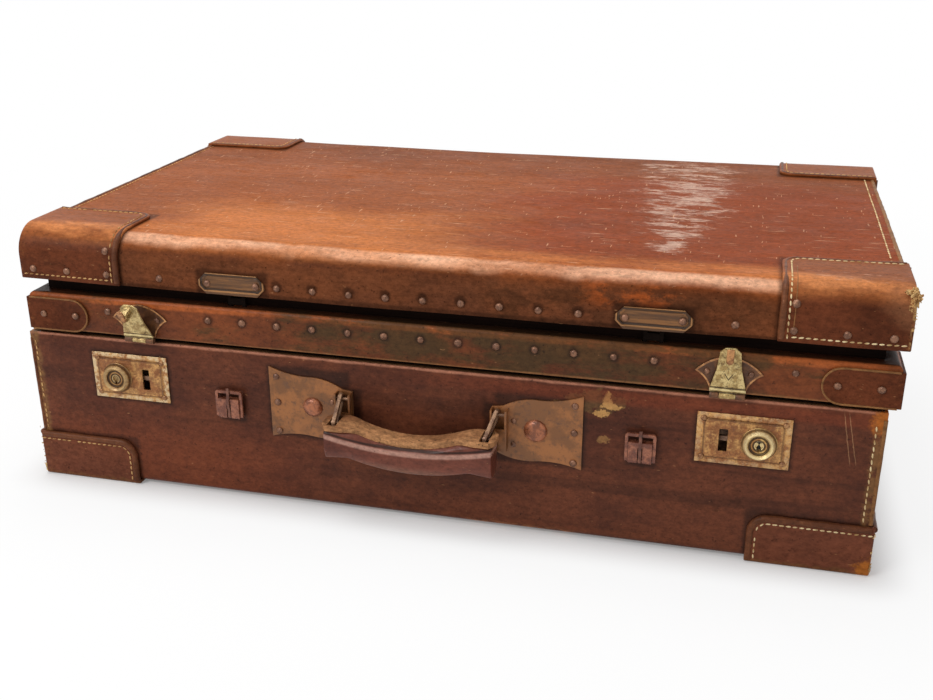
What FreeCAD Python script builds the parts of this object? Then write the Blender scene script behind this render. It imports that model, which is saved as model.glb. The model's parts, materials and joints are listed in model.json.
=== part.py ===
"""Expanding leather suitcase: a stitched leather case whose lid telescopes upwards.

Millimetres.  +X runs along the case to the right, the front faces -Y, +Z is up.  The origin is on
the floor, under the middle of the whole object's footprint.  Three shells carry everything else:
the base tray, the lid frame that is hinged to it at the back, and the lid shell that slides up
over the frame's inner wall and is held by catches in notched racks.
"""
import FreeCAD, Part
import math
import os
import Sketcher

doc = FreeCAD.newDocument("suitcase")

# ---------------------------------------------------------------------------------------------
# Driving dimensions
# ---------------------------------------------------------------------------------------------
SIZES = [
    # the case
    ("case_length", 650.0, "base, end to end over the leather"),
    ("case_depth", 390.0, "base, front to back over the leather"),
    ("base_top", 126.0, "floor to the base's upper edge"),
    ("leather", 2.4, "thickness of the cover leather"),
    ("board", 4.0, "thickness of the fibre board"),
    ("lining", 1.0, "thickness of the lining"),
    ("edge_radius", 5.0, "radius of the base's long lower edges"),
    ("seat_gap", 0.3, "gap under a piece that rests on another"),
    # corner caps of the base
    ("cap_leather", 2.4, "thickness of the corner caps"),
    ("base_cap_length", 84.0, "base cap, along the front and along the end"),
    ("base_cap_height", 39.0, "base cap, floor to its upper edge"),
    ("base_cap_radius", 14.0, "radius of the base cap's free corners"),
    ("base_cap_heel", 55.0, "radius of the base cap's free corner underneath"),
    # rim of the base
    ("rim_bottom", 114.0, "floor to the rim's lower edge"),
    ("lip_rise", 8.0, "height of the dust lip above the rim's seat"),
    ("lip_wall", 3.2, "thickness of the dust lip"),
    ("lip_clearance", 0.8, "gap from the dust lip to the inner wall"),
    # lid frame
    ("lid_shift", 5.0, "how far the worn lid sits to the right of the base"),
    ("parting_gap", 4.0, "gap between the base and the lid frame"),
    ("frame_height", 30.0, "height of the lid frame"),
    ("frame_board", 3.5, "thickness of the frame's board"),
    ("frame_radius", 4.0, "radius of the frame's upper edge"),
    ("ledge_depth", 11.0, "from the frame's face in to its inner wall"),
    ("inner_wall", 3.5, "thickness of the telescoping inner wall"),
    ("foot_height", 4.0, "height of the inner wall's foot"),
    ("patch_length", 50.0, "length of a corner patch on the frame"),
    ("patch_height", 26.0, "height of a corner patch on the frame"),
    ("patch_leather", 2.0, "thickness of a corner patch on the frame"),
    # lid shell
    ("shell_gap", 11.5, "gap between the frame's ledge and the lid shell"),
    ("shell_height", 38.5, "height of the lid shell"),
    ("shell_radius", 20.0, "radius of the lid's long upper edges"),
    ("lid_cap_length", 82.0, "lid cap, along the front"),
    ("lid_cap_reach", 62.0, "lid cap, front to back on the top"),
    ("lid_cap_radius", 12.0, "radius of the lid cap's free corners"),
    # expander
    ("notch_pitch", 9.0, "distance between the holes of a rack"),
    ("stop_clearance", 3.4, "gap over the inner wall with the lid at its lowest"),
    ("steps_up", 2, "holes that the lid can rise by"),
    ("expander_x", 156.0, "from the middle to an expander"),
    ("expander_shift", 10.0, "how far the expanders sit to the right of the middle"),
    ("expander_rise", 8.5, "lid shell's lower edge up to the anchor rivets"),
    ("anchor_length", 53.0, "length of an anchor plate"),
    ("anchor_height", 16.0, "height of an anchor plate"),
    ("anchor_sheet", 1.2, "thickness of an anchor plate"),
    ("anchor_rim", 1.8, "width of an anchor plate's raised rim"),
    ("anchor_clip", 6.0, "length of an anchor plate's clipped corners"),
    ("anchor_span", 39.0, "distance between an anchor plate's rivets"),
    ("rack_sheet", 2.0, "thickness of a rack"),
    ("rack_width", 14.0, "width of a rack's tail"),
    ("rack_head", 11.0, "height of a rack's head"),
    ("rack_clearance", 0.5, "gap between a rack and the frame's board"),
    ("rack_slot_gap", 1.0, "gap round a rack in the ledge"),
    ("rack_end", 5.5, "from a rack's lowest hole to its end"),
    ("catch_rise", 8.0, "frame's upper edge up to the catches"),
    ("catch_bolt_width", 8.0, "width of a catch bolt"),
    ("catch_bolt_height", 3.0, "height of a catch bolt"),
    ("catch_fit", 0.3, "gap round a catch bolt"),
    ("catch_gap", 0.5, "from a drawn catch bolt to its rack"),
    ("catch_stroke", 2.2, "travel of a catch bolt"),
    ("catch_width", 22.0, "width of a catch housing"),
    ("catch_height", 20.0, "height of a catch housing"),
    ("catch_depth", 10.0, "depth of a catch housing"),
    ("catch_knob", 11.0, "width and height of a catch bolt's thumb piece"),
    ("catch_knob_length", 4.0, "thickness of a catch bolt's thumb piece"),
    # butt hinges
    ("hinge_spread", 196.0, "from the middle to a hinge"),
    ("hinge_width", 48.0, "width of a hinge"),
    ("hinge_rivet_x", 16.3, "from a hinge's middle to its outer rivets"),
    ("hinge_rivet_z", 15.6, "from a hinge's axis to its rivets"),
    ("hinge_leaf", 21.0, "height of a hinge leaf"),
    ("hinge_sheet", 1.2, "thickness of a hinge leaf"),
    ("knuckle_radius", 3.0, "radius of a hinge knuckle"),
    ("hinge_pin", 1.5, "radius of a hinge pin"),
    ("pin_fit", 0.05, "radial clearance of a pin in its knuckles"),
    ("knuckle_gap", 0.3, "gap between neighbouring knuckles"),
    # hasps and locks
    ("lock_shift", 3.0, "how far the locks sit to the left of the middle"),
    ("lock_end", 89.5, "base's end in to a lock plate's middle"),
    ("slot_inward", 13.5, "lock plate's middle in to its staple slot"),
    ("knob_outward", 11.0, "lock plate's middle out to its knob"),
    ("lock_rise", 0.75, "staple up to a lock plate's middle"),
    ("lock_plate_length", 64.5, "length of a lock plate"),
    ("lock_plate_height", 38.5, "height of a lock plate"),
    ("lock_sheet", 1.0, "thickness of a lock plate's border"),
    ("lock_field", 0.9, "rise of a lock plate's raised field"),
    ("lock_border", 4.5, "width of a lock plate's border"),
    ("slot_width", 6.0, "width of the staple slot"),
    ("slot_height", 17.0, "height of the staple slot"),
    ("knob_radius", 12.5, "radius of a lock knob"),
    ("knob_height", 5.6, "height of a lock knob"),
    ("knob_crest", 9.4, "radius of a lock knob's crest"),
    ("knob_bore", 6.5, "radius of the recess in a lock knob"),
    ("knob_recess", 2.6, "depth of the recess in a lock knob"),
    ("key_hole", 2.6, "radius of the keyhole"),
    ("key_width", 1.8, "width of the keyhole's lower slit"),
    ("key_reach", 4.9, "from the keyhole's middle to the slit's end"),
    ("stem_radius", 4.0, "radius of a lock knob's stem"),
    ("stem_fit", 0.3, "gap round the stem in its slot"),
    ("bolt_stroke", 6.5, "travel of a lock bolt"),
    ("bolt_overlap", 1.0, "how far a shot bolt reaches past the staple"),
    ("bolt_height", 3.7, "height of the bolt's tongue"),
    ("bolt_sheet", 2.6, "thickness of the lock bolt"),
    ("bolt_plate", 12.0, "length and height of the bolt's slide plate"),
    ("lock_case_length", 60.0, "length of a lock case"),
    ("lock_case_height", 31.0, "height of a lock case"),
    ("lock_case_depth", 12.0, "depth of a lock case"),
    ("lock_case_wall", 1.2, "wall of a lock case"),
    ("spring_sheet", 0.5, "thickness of the bolt's spring"),
    ("spring_height", 7.0, "height of the bolt's spring"),
    ("hasp_proud", 3.6, "from the case's face out to a hasp's pin"),
    ("hasp_drop", 1.0, "frame's lower edge down to a hasp's pin"),
    ("hasp_knuckle", 2.2, "radius of a hasp's knuckles"),
    ("hasp_pin", 1.0, "radius of a hasp's pin"),
    ("hasp_tab", 11.0, "width of the tongue's knuckle"),
    ("hasp_ear", 6.2, "width of each of the hasp plate's knuckles"),
    ("hasp_sheet", 1.4, "thickness of a hasp's tongue"),
    ("hasp_foot", 24.5, "width of a hasp's tongue at its foot"),
    ("hasp_head", 14.0, "width of a hasp's tongue at its head"),
    ("hasp_length", 40.0, "from a hasp's pin to the tongue's end"),
    ("hasp_lean", 22.0, "how far the left hasp leans out, in degrees"),
    ("hasp_plate_sheet", 1.2, "thickness of a hasp's plate"),
    ("hasp_wing", 23.0, "half width of a hasp's plate"),
    ("hasp_wing_rise", 15.0, "frame's lower edge up to the wings' tips"),
    ("hasp_plate_rise", 27.0, "frame's lower edge up to the plate's top"),
    ("hasp_wing_arc", 34.0, "radius of the plate's upper arcs"),
    ("hasp_waist_arc", 20.0, "radius of the plate's hollow sides"),
    ("hasp_rivet_x", 14.7, "from a hasp's middle to its plate's rivets"),
    ("staple_start", 31.0, "from a hasp's pin to the staple's near leg"),
    ("staple_span", 7.5, "length of the staple over its legs"),
    ("staple_wire", 1.5, "thickness of the staple's strip"),
    ("staple_width", 5.0, "width of the staple's strip"),
    ("staple_depth", 9.3, "how far the staple stands off the tongue"),
    # handle
    ("plate_sheet", 1.2, "thickness of a handle plate"),
    ("plate_outer", 120.5, "from the middle to a handle plate's outer edge"),
    ("plate_tip", 53.5, "from the middle to a handle plate's tip"),
    ("plate_low", 58.0, "floor to a handle plate's lower corner"),
    ("plate_high", 116.5, "floor to a handle plate's upper corner"),
    ("plate_waist_x", 85.0, "from the middle to a handle plate's waist"),
    ("plate_waist_low", 61.0, "floor to the waist's lower edge"),
    ("plate_waist_high", 110.3, "floor to the waist's upper edge"),
    ("plate_neck_x", 62.0, "from the middle to a handle plate's neck"),
    ("plate_neck_high", 103.2, "floor to the neck's upper edge"),
    ("plate_tip_low", 68.0, "floor to the tip's lower edge"),
    ("plate_tip_high", 102.0, "floor to the tip's upper edge"),
    ("plate_hollow_arc", 75.0, "radius of a handle plate's hollow edges"),
    ("plate_shoulder_arc", 48.0, "radius of a handle plate's shoulders"),
    ("fold_width", 12.5, "width of the folded tip"),
    ("fold_bottom", 70.0, "floor to the folded tip's lower edge"),
    ("fold_slot_bottom", 87.5, "floor to the lower end of the fold's slot"),
    ("fold_slot_rim", 0.3, "width left beside the fold's slot"),
    ("link_pin", 1.2, "radius of the pins that hold the links"),
    ("link_pin_height", 98.0, "floor to the pins in the handle plates"),
    ("link_wire", 1.4, "radius of a link's wire"),
    ("link_play", 0.4, "gap between a link and its pins"),
    ("link_gap", 0.35, "gap between a link and its handle plate"),
    ("link_length", 20.0, "length of a link, pin to pin"),
    ("link_left_x", 61.0, "from the middle to the left link"),
    ("link_right_x", 58.3, "from the middle to the right link's upper eye"),
    ("link_right_foot", 54.0, "from the middle to the right link's lower eye"),
    ("boss_x", 86.0, "from the middle to a handle plate's boss"),
    ("boss_height", 86.0, "floor to a handle plate's boss"),
    ("boss_radius", 8.5, "radius of a handle plate's boss"),
    ("boss_rise", 3.4, "height of a handle plate's boss"),
    ("boss_top", 5.4, "radius of a boss's flat top"),
    ("plate_rivet_in", 6.0, "handle plate's outer edge in to its rivets"),
    ("plate_rivet_low", 5.0, "handle plate's lower corner up to its lowest rivet"),
    ("plate_rivet_high", 8.0, "handle plate's upper corner down to its highest rivet"),
    ("fold_rivet_out", 4.0, "from the folded tip to the rivets beside it"),
    ("fold_rivet_low", 3.0, "folded tip's lower edge up to the lower rivet beside it"),
    ("fold_rivet_high", 10.0, "folded tip's upper edge down to the upper rivet beside it"),
    ("strap_half", 2.0, "half the thickness of the grip's laced strap"),
    ("lobe_depth", 11.5, "half depth of the strap's lobes"),
    ("lobe_length", 8.0, "half length of the strap's lobes"),
    ("strap_waist", 7.6, "half depth of the strap's waist"),
    ("strap_neck", 12.0, "length of the taper from a lobe to the waist"),
    ("grip_gap", 0.5, "gap between the hanging grip and the folded tips"),
    ("grip_depth", 10.5, "half depth of the grip"),
    ("grip_height", 23.0, "height of the grip under the strap"),
    ("grip_roll", 8.5, "width and height of the grip's rolled lower edges"),
    ("grip_facet", 2.5, "inset of the middle of a rolled edge"),
    ("grip_shoulder", 2.5, "bevel of the grip's upper edges"),
    ("grip_end", 6.0, "from a link's hole to the grip's end"),
    ("grip_bend", 35.0, "radius of the bend beside each lobe"),
    ("grip_flat", 9.5, "from a link's hole in to the start of the bend"),
    ("grip_sag", 8.5, "sag of the grip's middle"),
    ("hole_half", 3.5, "half width of a lobe's hole"),
    ("hole_reach", 9.0, "half depth of a lobe's hole"),
    ("end_pin_length", 13.0, "length of the pins in the grip"),
    # strap buckles
    ("buckle_left", 154.0, "from the middle to the left buckle"),
    ("buckle_right", 162.5, "from the middle to the right buckle"),
    ("buckle_axis", 72.5, "floor to a buckle's pivot"),
    ("buckle_proud", 3.6, "from the case's face out to a buckle's pivot"),
    ("buckle_wire", 1.1, "radius of a buckle's wire"),
    ("buckle_width", 22.0, "width of a buckle over its wire"),
    ("buckle_height", 20.0, "from a buckle's pivot to its far bar"),
    ("chape_width", 17.0, "width of a buckle's chape"),
    ("chape_sheet", 1.1, "thickness of a buckle's chape"),
    ("chape_height", 14.5, "from a buckle's pivot to the chape's upper edge"),
    ("chape_slot", 3.6, "width of the chape's slot"),
    ("chape_slot_rise", 10.5, "from a buckle's pivot to the slot's end"),
    ("prong_width", 2.2, "width of a buckle's prong"),
    ("prong_sheet", 0.9, "thickness of a buckle's prong"),
    ("prong_reach", 3.6, "how far a buckle's prong reaches past the far bar"),
    # rivets
    ("rivet_radius", 2.6, "radius of the dome rivets"),
    ("rivet_rise", 1.4, "height of the dome rivets"),
    ("rivet_pitch", 28.0, "distance between the dome rivets on the ends"),
    ("frame_row_rise", 18.6, "frame's lower edge up to its row of rivets"),
    ("frame_row_margin", 31.0, "from a hasp's wing to the nearest rivet of the frame's row"),
    ("frame_row_end", 67.5, "lid's end in to the outermost rivet of the frame's row"),
    ("shell_row_margin", 17.5, "from an anchor plate to the nearest rivet of the lid's row"),
    ("shell_row_shift", 8.0, "how far the lid's row sits to the left of the expanders' middle"),
    ("cap_rivet_first", 9.0, "lid's end in to a cap's first rivet"),
    ("cap_rivet_second", 38.0, "lid's end in to a cap's second rivet"),
    ("cap_rivet_edge", 10.0, "lid cap's edge back to its last rivet"),
    ("patch_rivet_first", 12.0, "lid's corner in to a patch's first rivet"),
    ("patch_rivet_edge", 10.0, "patch's tip back to its second rivet"),
    ("small_rivet", 2.0, "radius of the small rivets"),
    ("small_rise", 1.0, "height of the small rivets"),
]

size = doc.addObject("Spreadsheet::Sheet", "size")
for row, (alias, value, note) in enumerate(SIZES, start=1):
    size.set(f"A{row}", note)
    size.set(f"B{row}", str(value))
    size.setAlias(f"B{row}", alias)
doc.recompute()

# ---------------------------------------------------------------------------------------------
# Levels and faces that several pieces share, worked out from the driving dimensions
# ---------------------------------------------------------------------------------------------
SHARED = [
    ("link_ring", "size.link_pin + size.link_play + size.link_wire", "a link's wire from its eye's centre"),
    ("link_outer", "link_ring + size.link_wire", "a link's outer radius round its eye"),
    ("pin_out", "size.plate_sheet + link_outer + size.link_gap", "case's face to the plates' pins"),
    ("fold_inner", "pin_out + size.link_pin + size.link_play", "case's face to the fold's inner face"),
    ("fold_outer", "fold_inner + size.plate_sheet", "case's face to the fold's outer face"),
    ("lobe_swing", "sqrt(size.lobe_depth ^ 2 + size.strap_half ^ 2)", "reach of a lobe round its pin"),
    ("grip_out", "fold_outer + lobe_swing + size.grip_gap", "case's face to the grip's pins"),
    ("link_out", "grip_out - pin_out", "how far a link reaches out"),
    ("link_drop", "sqrt(size.link_length ^ 2 - link_out ^ 2)", "how far a link hangs down"),
    ("front_reach", "grip_out + size.lobe_depth", "furthest piece in front of the case"),
    ("back_reach", "2 * size.knuckle_radius", "furthest piece behind the case"),
    ("mid_x", "-size.lid_shift / 2", "middle of the base"),
    ("mid_y", "(front_reach - back_reach) / 2", "middle of the case"),
    ("left", "mid_x - size.case_length / 2", "base's left end"),
    ("right", "mid_x + size.case_length / 2", "base's right end"),
    ("front", "mid_y - size.case_depth / 2", "case's front"),
    ("back", "mid_y + size.case_depth / 2", "case's back"),
    ("under", "size.cap_leather", "base leather's underside"),
    ("board_under", "under + size.leather", "base board's underside"),
    ("board_floor", "board_under + size.board", "base board's inner floor"),
    ("wall", "size.leather + size.board", "base's wall, leather and board"),
    ("frame_wall", "size.leather + size.frame_board", "frame's wall, leather and board"),
    ("lid_left", "left + size.lid_shift", "lid's left end"),
    ("lid_right", "right + size.lid_shift", "lid's right end"),
    ("frame_low", "size.base_top + size.parting_gap", "frame's lower edge"),
    ("frame_top", "frame_low + size.frame_height", "frame's ledge"),
    ("shell_low", "frame_top + size.shell_gap", "lid shell's lower edge"),
    ("shell_top", "shell_low + size.shell_height", "lid's top"),
    ("shell_ceiling", "shell_top - wall", "underside of the lid's board"),
    ("inner_top", "shell_ceiling - size.lining - size.notch_pitch - size.stop_clearance", "inner wall's top"),
    ("rim_seat", "frame_low - size.seat_gap", "top of the rim that carries the frame"),
    ("wall_inner", "size.ledge_depth + size.inner_wall", "frame's face in to the inner wall's inside"),
    ("lip_x", "size.lid_shift + wall_inner + size.lip_clearance", "base's end in to the dust lip"),
    ("lip_y", "wall_inner + size.lip_clearance", "base's front in to the dust lip"),
    ("hinge_y", "back + size.knuckle_radius", "lid hinge's axis"),
    ("hinge_z", "(size.base_top + frame_low) / 2", "lid hinge's axis"),
    ("lock_x", "mid_x - size.lock_shift", "middle between the locks"),
    ("lock_spread", "size.case_length / 2 - size.lock_end", "locks' middle to a lock plate's middle"),
    ("slot_spread", "lock_spread - size.slot_inward", "locks' middle to a staple slot"),
    ("knob_spread", "lock_spread + size.knob_outward", "locks' middle to a lock knob"),
    ("hasp_y", "front - size.hasp_proud", "hasps' axis"),
    ("hasp_z", "frame_low - size.hasp_drop", "hasps' axis"),
    ("staple_z", "hasp_z - size.staple_start - size.staple_span / 2", "middle of a staple that is down"),
    ("lock_z", "staple_z + size.lock_rise", "lock plates' middle"),
    ("staple_end", "hasp_y + size.hasp_sheet / 2 + size.staple_depth", "end of a staple that is down"),
    ("bolt_back", "staple_end - size.staple_wire - 2 * size.seat_gap", "lock bolt's back face"),
    ("bolt_front", "bolt_back - size.bolt_sheet", "lock bolt's front face"),
    ("plate_face", "front - size.lock_sheet - size.lock_field", "lock plate's raised face"),
    ("case_front", "front + size.leather", "lock case's mouth"),
    ("case_back", "case_front + size.lock_case_depth", "lock case's back"),
    ("pin_y", "front - pin_out", "pins in the handle plates"),
    ("grip_y", "front - grip_out", "pins in the grip"),
    ("grip_z", "size.link_pin_height - link_drop", "pins in the grip"),
    ("hole_spread", "(size.link_left_x + size.link_right_foot) / 2", "grip's middle to a lobe's hole"),
    ("grip_x", "mid_x + (size.link_right_foot - size.link_left_x) / 2", "grip's middle"),
    ("bend_x", "hole_spread - size.grip_flat", "grip's middle to the start of the bend"),
    ("sag_angle", "2 * atan(size.grip_sag / bend_x)", "slope at the end of the bend"),
    ("sag_arc", "bend_x / sin(sag_angle) - size.grip_bend", "radius of the sagging middle"),
    ("expander_mid", "mid_x + size.expander_shift", "middle between the expanders"),
    ("anchor_z", "shell_low + size.expander_rise", "anchor rivets' level"),
    ("catch_z", "frame_top + size.catch_rise", "catch bolts' level"),
    ("rack_low", "catch_z - size.steps_up * size.notch_pitch - size.rack_end", "a rack's lower end"),
    ("rack_out", "wall + size.rack_sheet", "lid's face in to a rack's inner face"),
    ("catch_back", "wall_inner + size.catch_depth", "frame's face in to a catch housing's back"),
    ("buckle_y", "front - size.buckle_proud", "buckles' axis"),
    ("frame_pitch", "(slot_spread - size.hasp_wing - size.frame_row_margin) / 6", "frame rivets' pitch"),
    ("anchor_half", "size.anchor_length / 2", "half the length of an anchor plate"),
    ("shell_pitch", "(size.expander_x - anchor_half - size.shell_row_margin) / 4", "lid rivets' pitch"),
]

place = doc.addObject("App::VarSet", "place")
for alias, formula, note in SHARED:
    place.addProperty("App::PropertyFloat", alias, "Shared", note)
    place.setExpression(alias, formula)
reader = doc.addObject("App::VarSet", "reader")
reader.addProperty("App::PropertyFloat", "present", "Shared", "value of the expression being read")
doc.recompute()


def number(expression):
    """Present value of an expression, in millimetres or degrees."""
    reader.setExpression("present", str(expression))
    reader.recompute()
    return reader.present


# ---------------------------------------------------------------------------------------------
# Ways of making a piece
# ---------------------------------------------------------------------------------------------
AXES = {"X": FreeCAD.Vector(1, 0, 0), "Y": FreeCAD.Vector(0, 1, 0), "Z": FreeCAD.Vector(0, 0, 1)}
ALONG = {
    "X": FreeCAD.Rotation(AXES["Y"], 90),
    "Y": FreeCAD.Rotation(AXES["X"], -90),
    "Z": FreeCAD.Rotation(),
}
NEAR = 0.01
pieces = []


def publish(piece, label):
    """Give a finished piece the name of its node."""
    piece.Label = label
    pieces.append(piece)
    return piece


def put(piece, x="0", y="0", z="0"):
    """Tie a piece's place to expressions."""
    for axis, expression in zip("xyz", (x, y, z)):
        piece.setExpression(f"Placement.Base.{axis}", expression)
    return piece


def new_body(name):
    return doc.addObject("PartDesign::Body", name)


def rectangle(low_u, low_v, high_u, high_v):
    return [(low_u, low_v), (high_u, low_v), (high_u, high_v), (low_u, high_v)]


def centred(u, v, width, height):
    """Rectangle about a point."""
    half_u, half_v = f"({width}) / 2", f"({height}) / 2"
    return rectangle(f"{u} - {half_u}", f"{v} - {half_v}", f"{u} + {half_u}", f"{v} + {half_v}")


def arc_between(start, end, radius):
    """Arc from start to end that turns left for a positive radius and right for a negative one."""
    chord = end - start
    middle = (start + end) * 0.5
    rise = math.sqrt(max(radius * radius - chord.Length ** 2 / 4, 0))
    left_of_travel = FreeCAD.Vector(-chord.y, chord.x, 0).normalize()
    centre = middle + left_of_travel * math.copysign(rise, radius)
    first, last = (start, end) if radius > 0 else (end, start)
    angles = [math.atan2(point.y - centre.y, point.x - centre.x) for point in (first, last)]
    circle = Part.Circle(centre, AXES["Z"], abs(radius))
    return Part.ArcOfCircle(circle, *angles)


def draw(sketch, corners, closed=True):
    """Outline through the corners; a third entry is the radius of the arc to the next corner."""
    points = [FreeCAD.Vector(number(c[0]), number(c[1]), 0) for c in corners]
    count = len(corners) if closed else len(corners) - 1
    ends = []
    for i in range(count):
        start, end = points[i], points[(i + 1) % len(points)]
        if len(corners[i]) == 2:
            edge = sketch.addGeometry(Part.LineSegment(start, end))
            ends.append((edge, 1, 2))
            continue
        radius = number(corners[i][2])
        edge = sketch.addGeometry(arc_between(start, end, radius))
        ends.append((edge, 1, 2) if radius > 0 else (edge, 2, 1))
        bind(sketch, "Radius", (edge,), abs(radius), f"abs({corners[i][2]})")
    for i in range(count if closed else count - 1):
        edge, _, last = ends[i]
        following, first, _ = ends[(i + 1) % count]
        sketch.addConstraint(Sketcher.Constraint("Coincident", edge, last, following, first))
    for i, corner in enumerate(corners):
        edge, position = (ends[i][0], ends[i][1]) if i < count else (ends[-1][0], ends[-1][2])
        bind(sketch, "DistanceX", (-1, 1, edge, position), points[i].x, corner[0])
        bind(sketch, "DistanceY", (-1, 1, edge, position), points[i].y, corner[1])


def bind(sketch, kind, where, value, expression):
    """Add a dimension to a sketch and tie it to an expression."""
    index = sketch.addConstraint(Sketcher.Constraint(kind, *where, value))
    sketch.setExpression(f"Constraints[{index}]", str(expression))


def new_sketch(body, plane, level, corners=(), circles=(), closed=True):
    """Sketch parallel to one of the body's origin planes; the XZ plane looks along -Y."""
    sketch = body.newObject("Sketcher::SketchObject", f"{body.Name}_sketch")
    role = f"{plane}_Plane"
    support = next(f for f in body.Origin.OriginFeatures if f.Role == role)
    sketch.AttachmentSupport = [(support, "")]
    sketch.MapMode = "FlatFace"
    sign = "-" if plane == "XZ" else ""
    sketch.setExpression("AttachmentOffset.Base.z", f"{sign}({level})")
    if corners:
        draw(sketch, corners, closed)
    for u, v, radius in circles:
        centre = FreeCAD.Vector(number(u), number(v), 0)
        edge = sketch.addGeometry(Part.Circle(centre, AXES["Z"], number(radius)))
        bind(sketch, "DistanceX", (-1, 1, edge, 3), centre.x, u)
        bind(sketch, "DistanceY", (-1, 1, edge, 3), centre.y, v)
        bind(sketch, "Radius", (edge,), number(radius), radius)
    return sketch


def pad(body, plane, low, high, corners=(), circles=()):
    """Fill an outline from one level to another along the plane's axis."""
    sketch = new_sketch(body, plane, high if plane == "XZ" else low, corners, circles)
    feature = body.newObject("PartDesign::Pad", f"{body.Name}_pad")
    feature.Profile = sketch
    feature.setExpression("Length", f"({high}) - ({low})")
    return feature


def pocket(body, plane, low, high, corners=(), circles=()):
    """Cut an outline from one level to another along the plane's axis."""
    sketch = new_sketch(body, plane, low if plane == "XZ" else high, corners, circles)
    feature = body.newObject("PartDesign::Pocket", f"{body.Name}_pocket")
    feature.Profile = sketch
    feature.setExpression("Length", f"({high}) - ({low})")
    return feature


def turn(body, x, z, corners):
    """Revolve an outline of radius and Y about the line along Y through x and z."""
    sketch = new_sketch(body, "XY", z, corners)
    sketch.setExpression("AttachmentOffset.Base.x", x)
    feature = body.newObject("PartDesign::Revolution", f"{body.Name}_turn")
    feature.Profile = sketch
    feature.ReferenceAxis = (sketch, ["V_Axis"])
    feature.Angle = 360
    return feature


def straight_edges(shape, axis, **where):
    """Names of the straight edges along an axis whose middle has the given coordinates."""
    names = []
    for index, edge in enumerate(shape.Edges, start=1):
        if not isinstance(edge.Curve, (Part.Line, Part.LineSegment)):
            continue
        span = edge.Vertexes[-1].Point - edge.Vertexes[0].Point
        if abs(span.normalize().dot(AXES[axis])) < 0.999:
            continue
        middle = edge.CenterOfMass
        if all(abs(getattr(middle, key) - value) < NEAR for key, value in where.items()):
            names.append(f"Edge{index}")
    return names


def dress(body, kind, prop, amount, choices):
    """Round or bevel the straight edges that each choice of axis and coordinates names."""
    doc.recompute()
    names = []
    for axis, where in choices:
        found = straight_edges(body.Shape, axis, **where)
        if not found:
            raise RuntimeError(f"{body.Name} has no edge along {axis} at {where}")
        names += found
    sharp = body.Tip
    feature = body.newObject(f"PartDesign::{kind}", f"{body.Name}_{kind.lower()}")
    feature.Base = (sharp, names)
    feature.setExpression(prop, str(amount))
    return feature


def fillet(body, radius, *choices):
    return dress(body, "Fillet", "Radius", radius, choices)


def chamfer(body, width, *choices):
    return dress(body, "Chamfer", "Size", width, choices)


def rod(name, axis, x, y, z, radius, length):
    """Cylinder along an axis, centred on a point."""
    cylinder = doc.addObject("Part::Cylinder", name)
    cylinder.setExpression("Radius", radius)
    cylinder.setExpression("Height", length)
    cylinder.Placement.Rotation = ALONG[axis]
    start = {"X": x, "Y": y, "Z": z}
    start[axis] = f"{start[axis]} - ({length}) / 2"
    return put(cylinder, start["X"], start["Y"], start["Z"])


def block(name, x, y, z):
    """Box between pairs of levels."""
    box = doc.addObject("Part::Box", name)
    for prop, (low, high) in zip(("Length", "Width", "Height"), (x, y, z)):
        box.setExpression(prop, f"({high}) - ({low})")
    return put(box, x[0], y[0], z[0])


def fuse(name, shapes):
    joined = doc.addObject("Part::MultiFuse", name)
    joined.Shapes = shapes
    return joined


def group(name, shapes):
    """Separate solids that share one node."""
    compound = doc.addObject("Part::Compound", name)
    compound.Links = shapes
    return compound


def cut(name, base, *tools):
    result = doc.addObject("Part::Cut", name)
    result.Base = base
    result.Tool = tools[0] if len(tools) == 1 else fuse(f"{name}_tools", list(tools))
    return result


def common(name, *shapes):
    result = doc.addObject("Part::MultiCommon", name)
    result.Shapes = list(shapes)
    return result


def mirrored(source, axis, level):
    """The same piece on the other side of a plane across an axis."""
    twin = doc.addObject("Part::Mirroring", f"{source.Name}_twin")
    twin.Source = source
    twin.Normal = AXES[axis]
    twin.setExpression(f"Base.{axis.lower()}", level)
    return twin


FACING = {
    "front": FreeCAD.Rotation(AXES["X"], 90),
    "back": FreeCAD.Rotation(AXES["X"], -90),
    "left": FreeCAD.Rotation(AXES["Y"], -90),
    "right": FreeCAD.Rotation(AXES["Y"], 90),
}


def boss(facing, x, y, z):
    """Low round boss seated on a face of the case."""
    cone = doc.addObject("Part::Cone", "boss")
    cone.setExpression("Radius1", "size.boss_radius")
    cone.setExpression("Radius2", "size.boss_top")
    cone.setExpression("Height", "size.boss_rise")
    cone.Placement.Rotation = FACING[facing]
    return put(cone, x, y, z)


dome_head = ("size.rivet_radius", "size.rivet_rise")
small_head = ("size.small_rivet", "size.small_rise")


def rivet(head, facing, x, y, z):
    """Six-sided rivet head seated on a face of the case."""
    radius, rise = head
    cap = doc.addObject("Part::Prism", "rivet")
    cap.Polygon = 6
    cap.setExpression("Circumradius", radius)
    cap.setExpression("Height", rise)
    cap.Placement.Rotation = FACING[facing]
    return put(cap, x, y, z)


def trough(low_y, high_y, low_z, high_z, radius):
    """Section of a tray across its length, with rounded lower corners."""
    return [
        (low_y, high_z),
        (low_y, f"{low_z} + {radius}", radius),
        (f"{low_y} + {radius}", low_z),
        (f"{high_y} - {radius}", low_z, radius),
        (high_y, f"{low_z} + {radius}"),
        (high_y, high_z),
    ]


def hood(low_y, high_y, low_z, high_z, radius):
    """Section of a lid across its length, with rounded upper corners."""
    return [
        (high_y, low_z),
        (high_y, f"{high_z} - {radius}", radius),
        (f"{high_y} - {radius}", high_z),
        (f"{low_y} + {radius}", high_z, radius),
        (low_y, f"{high_z} - {radius}"),
        (low_y, low_z),
    ]


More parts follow.
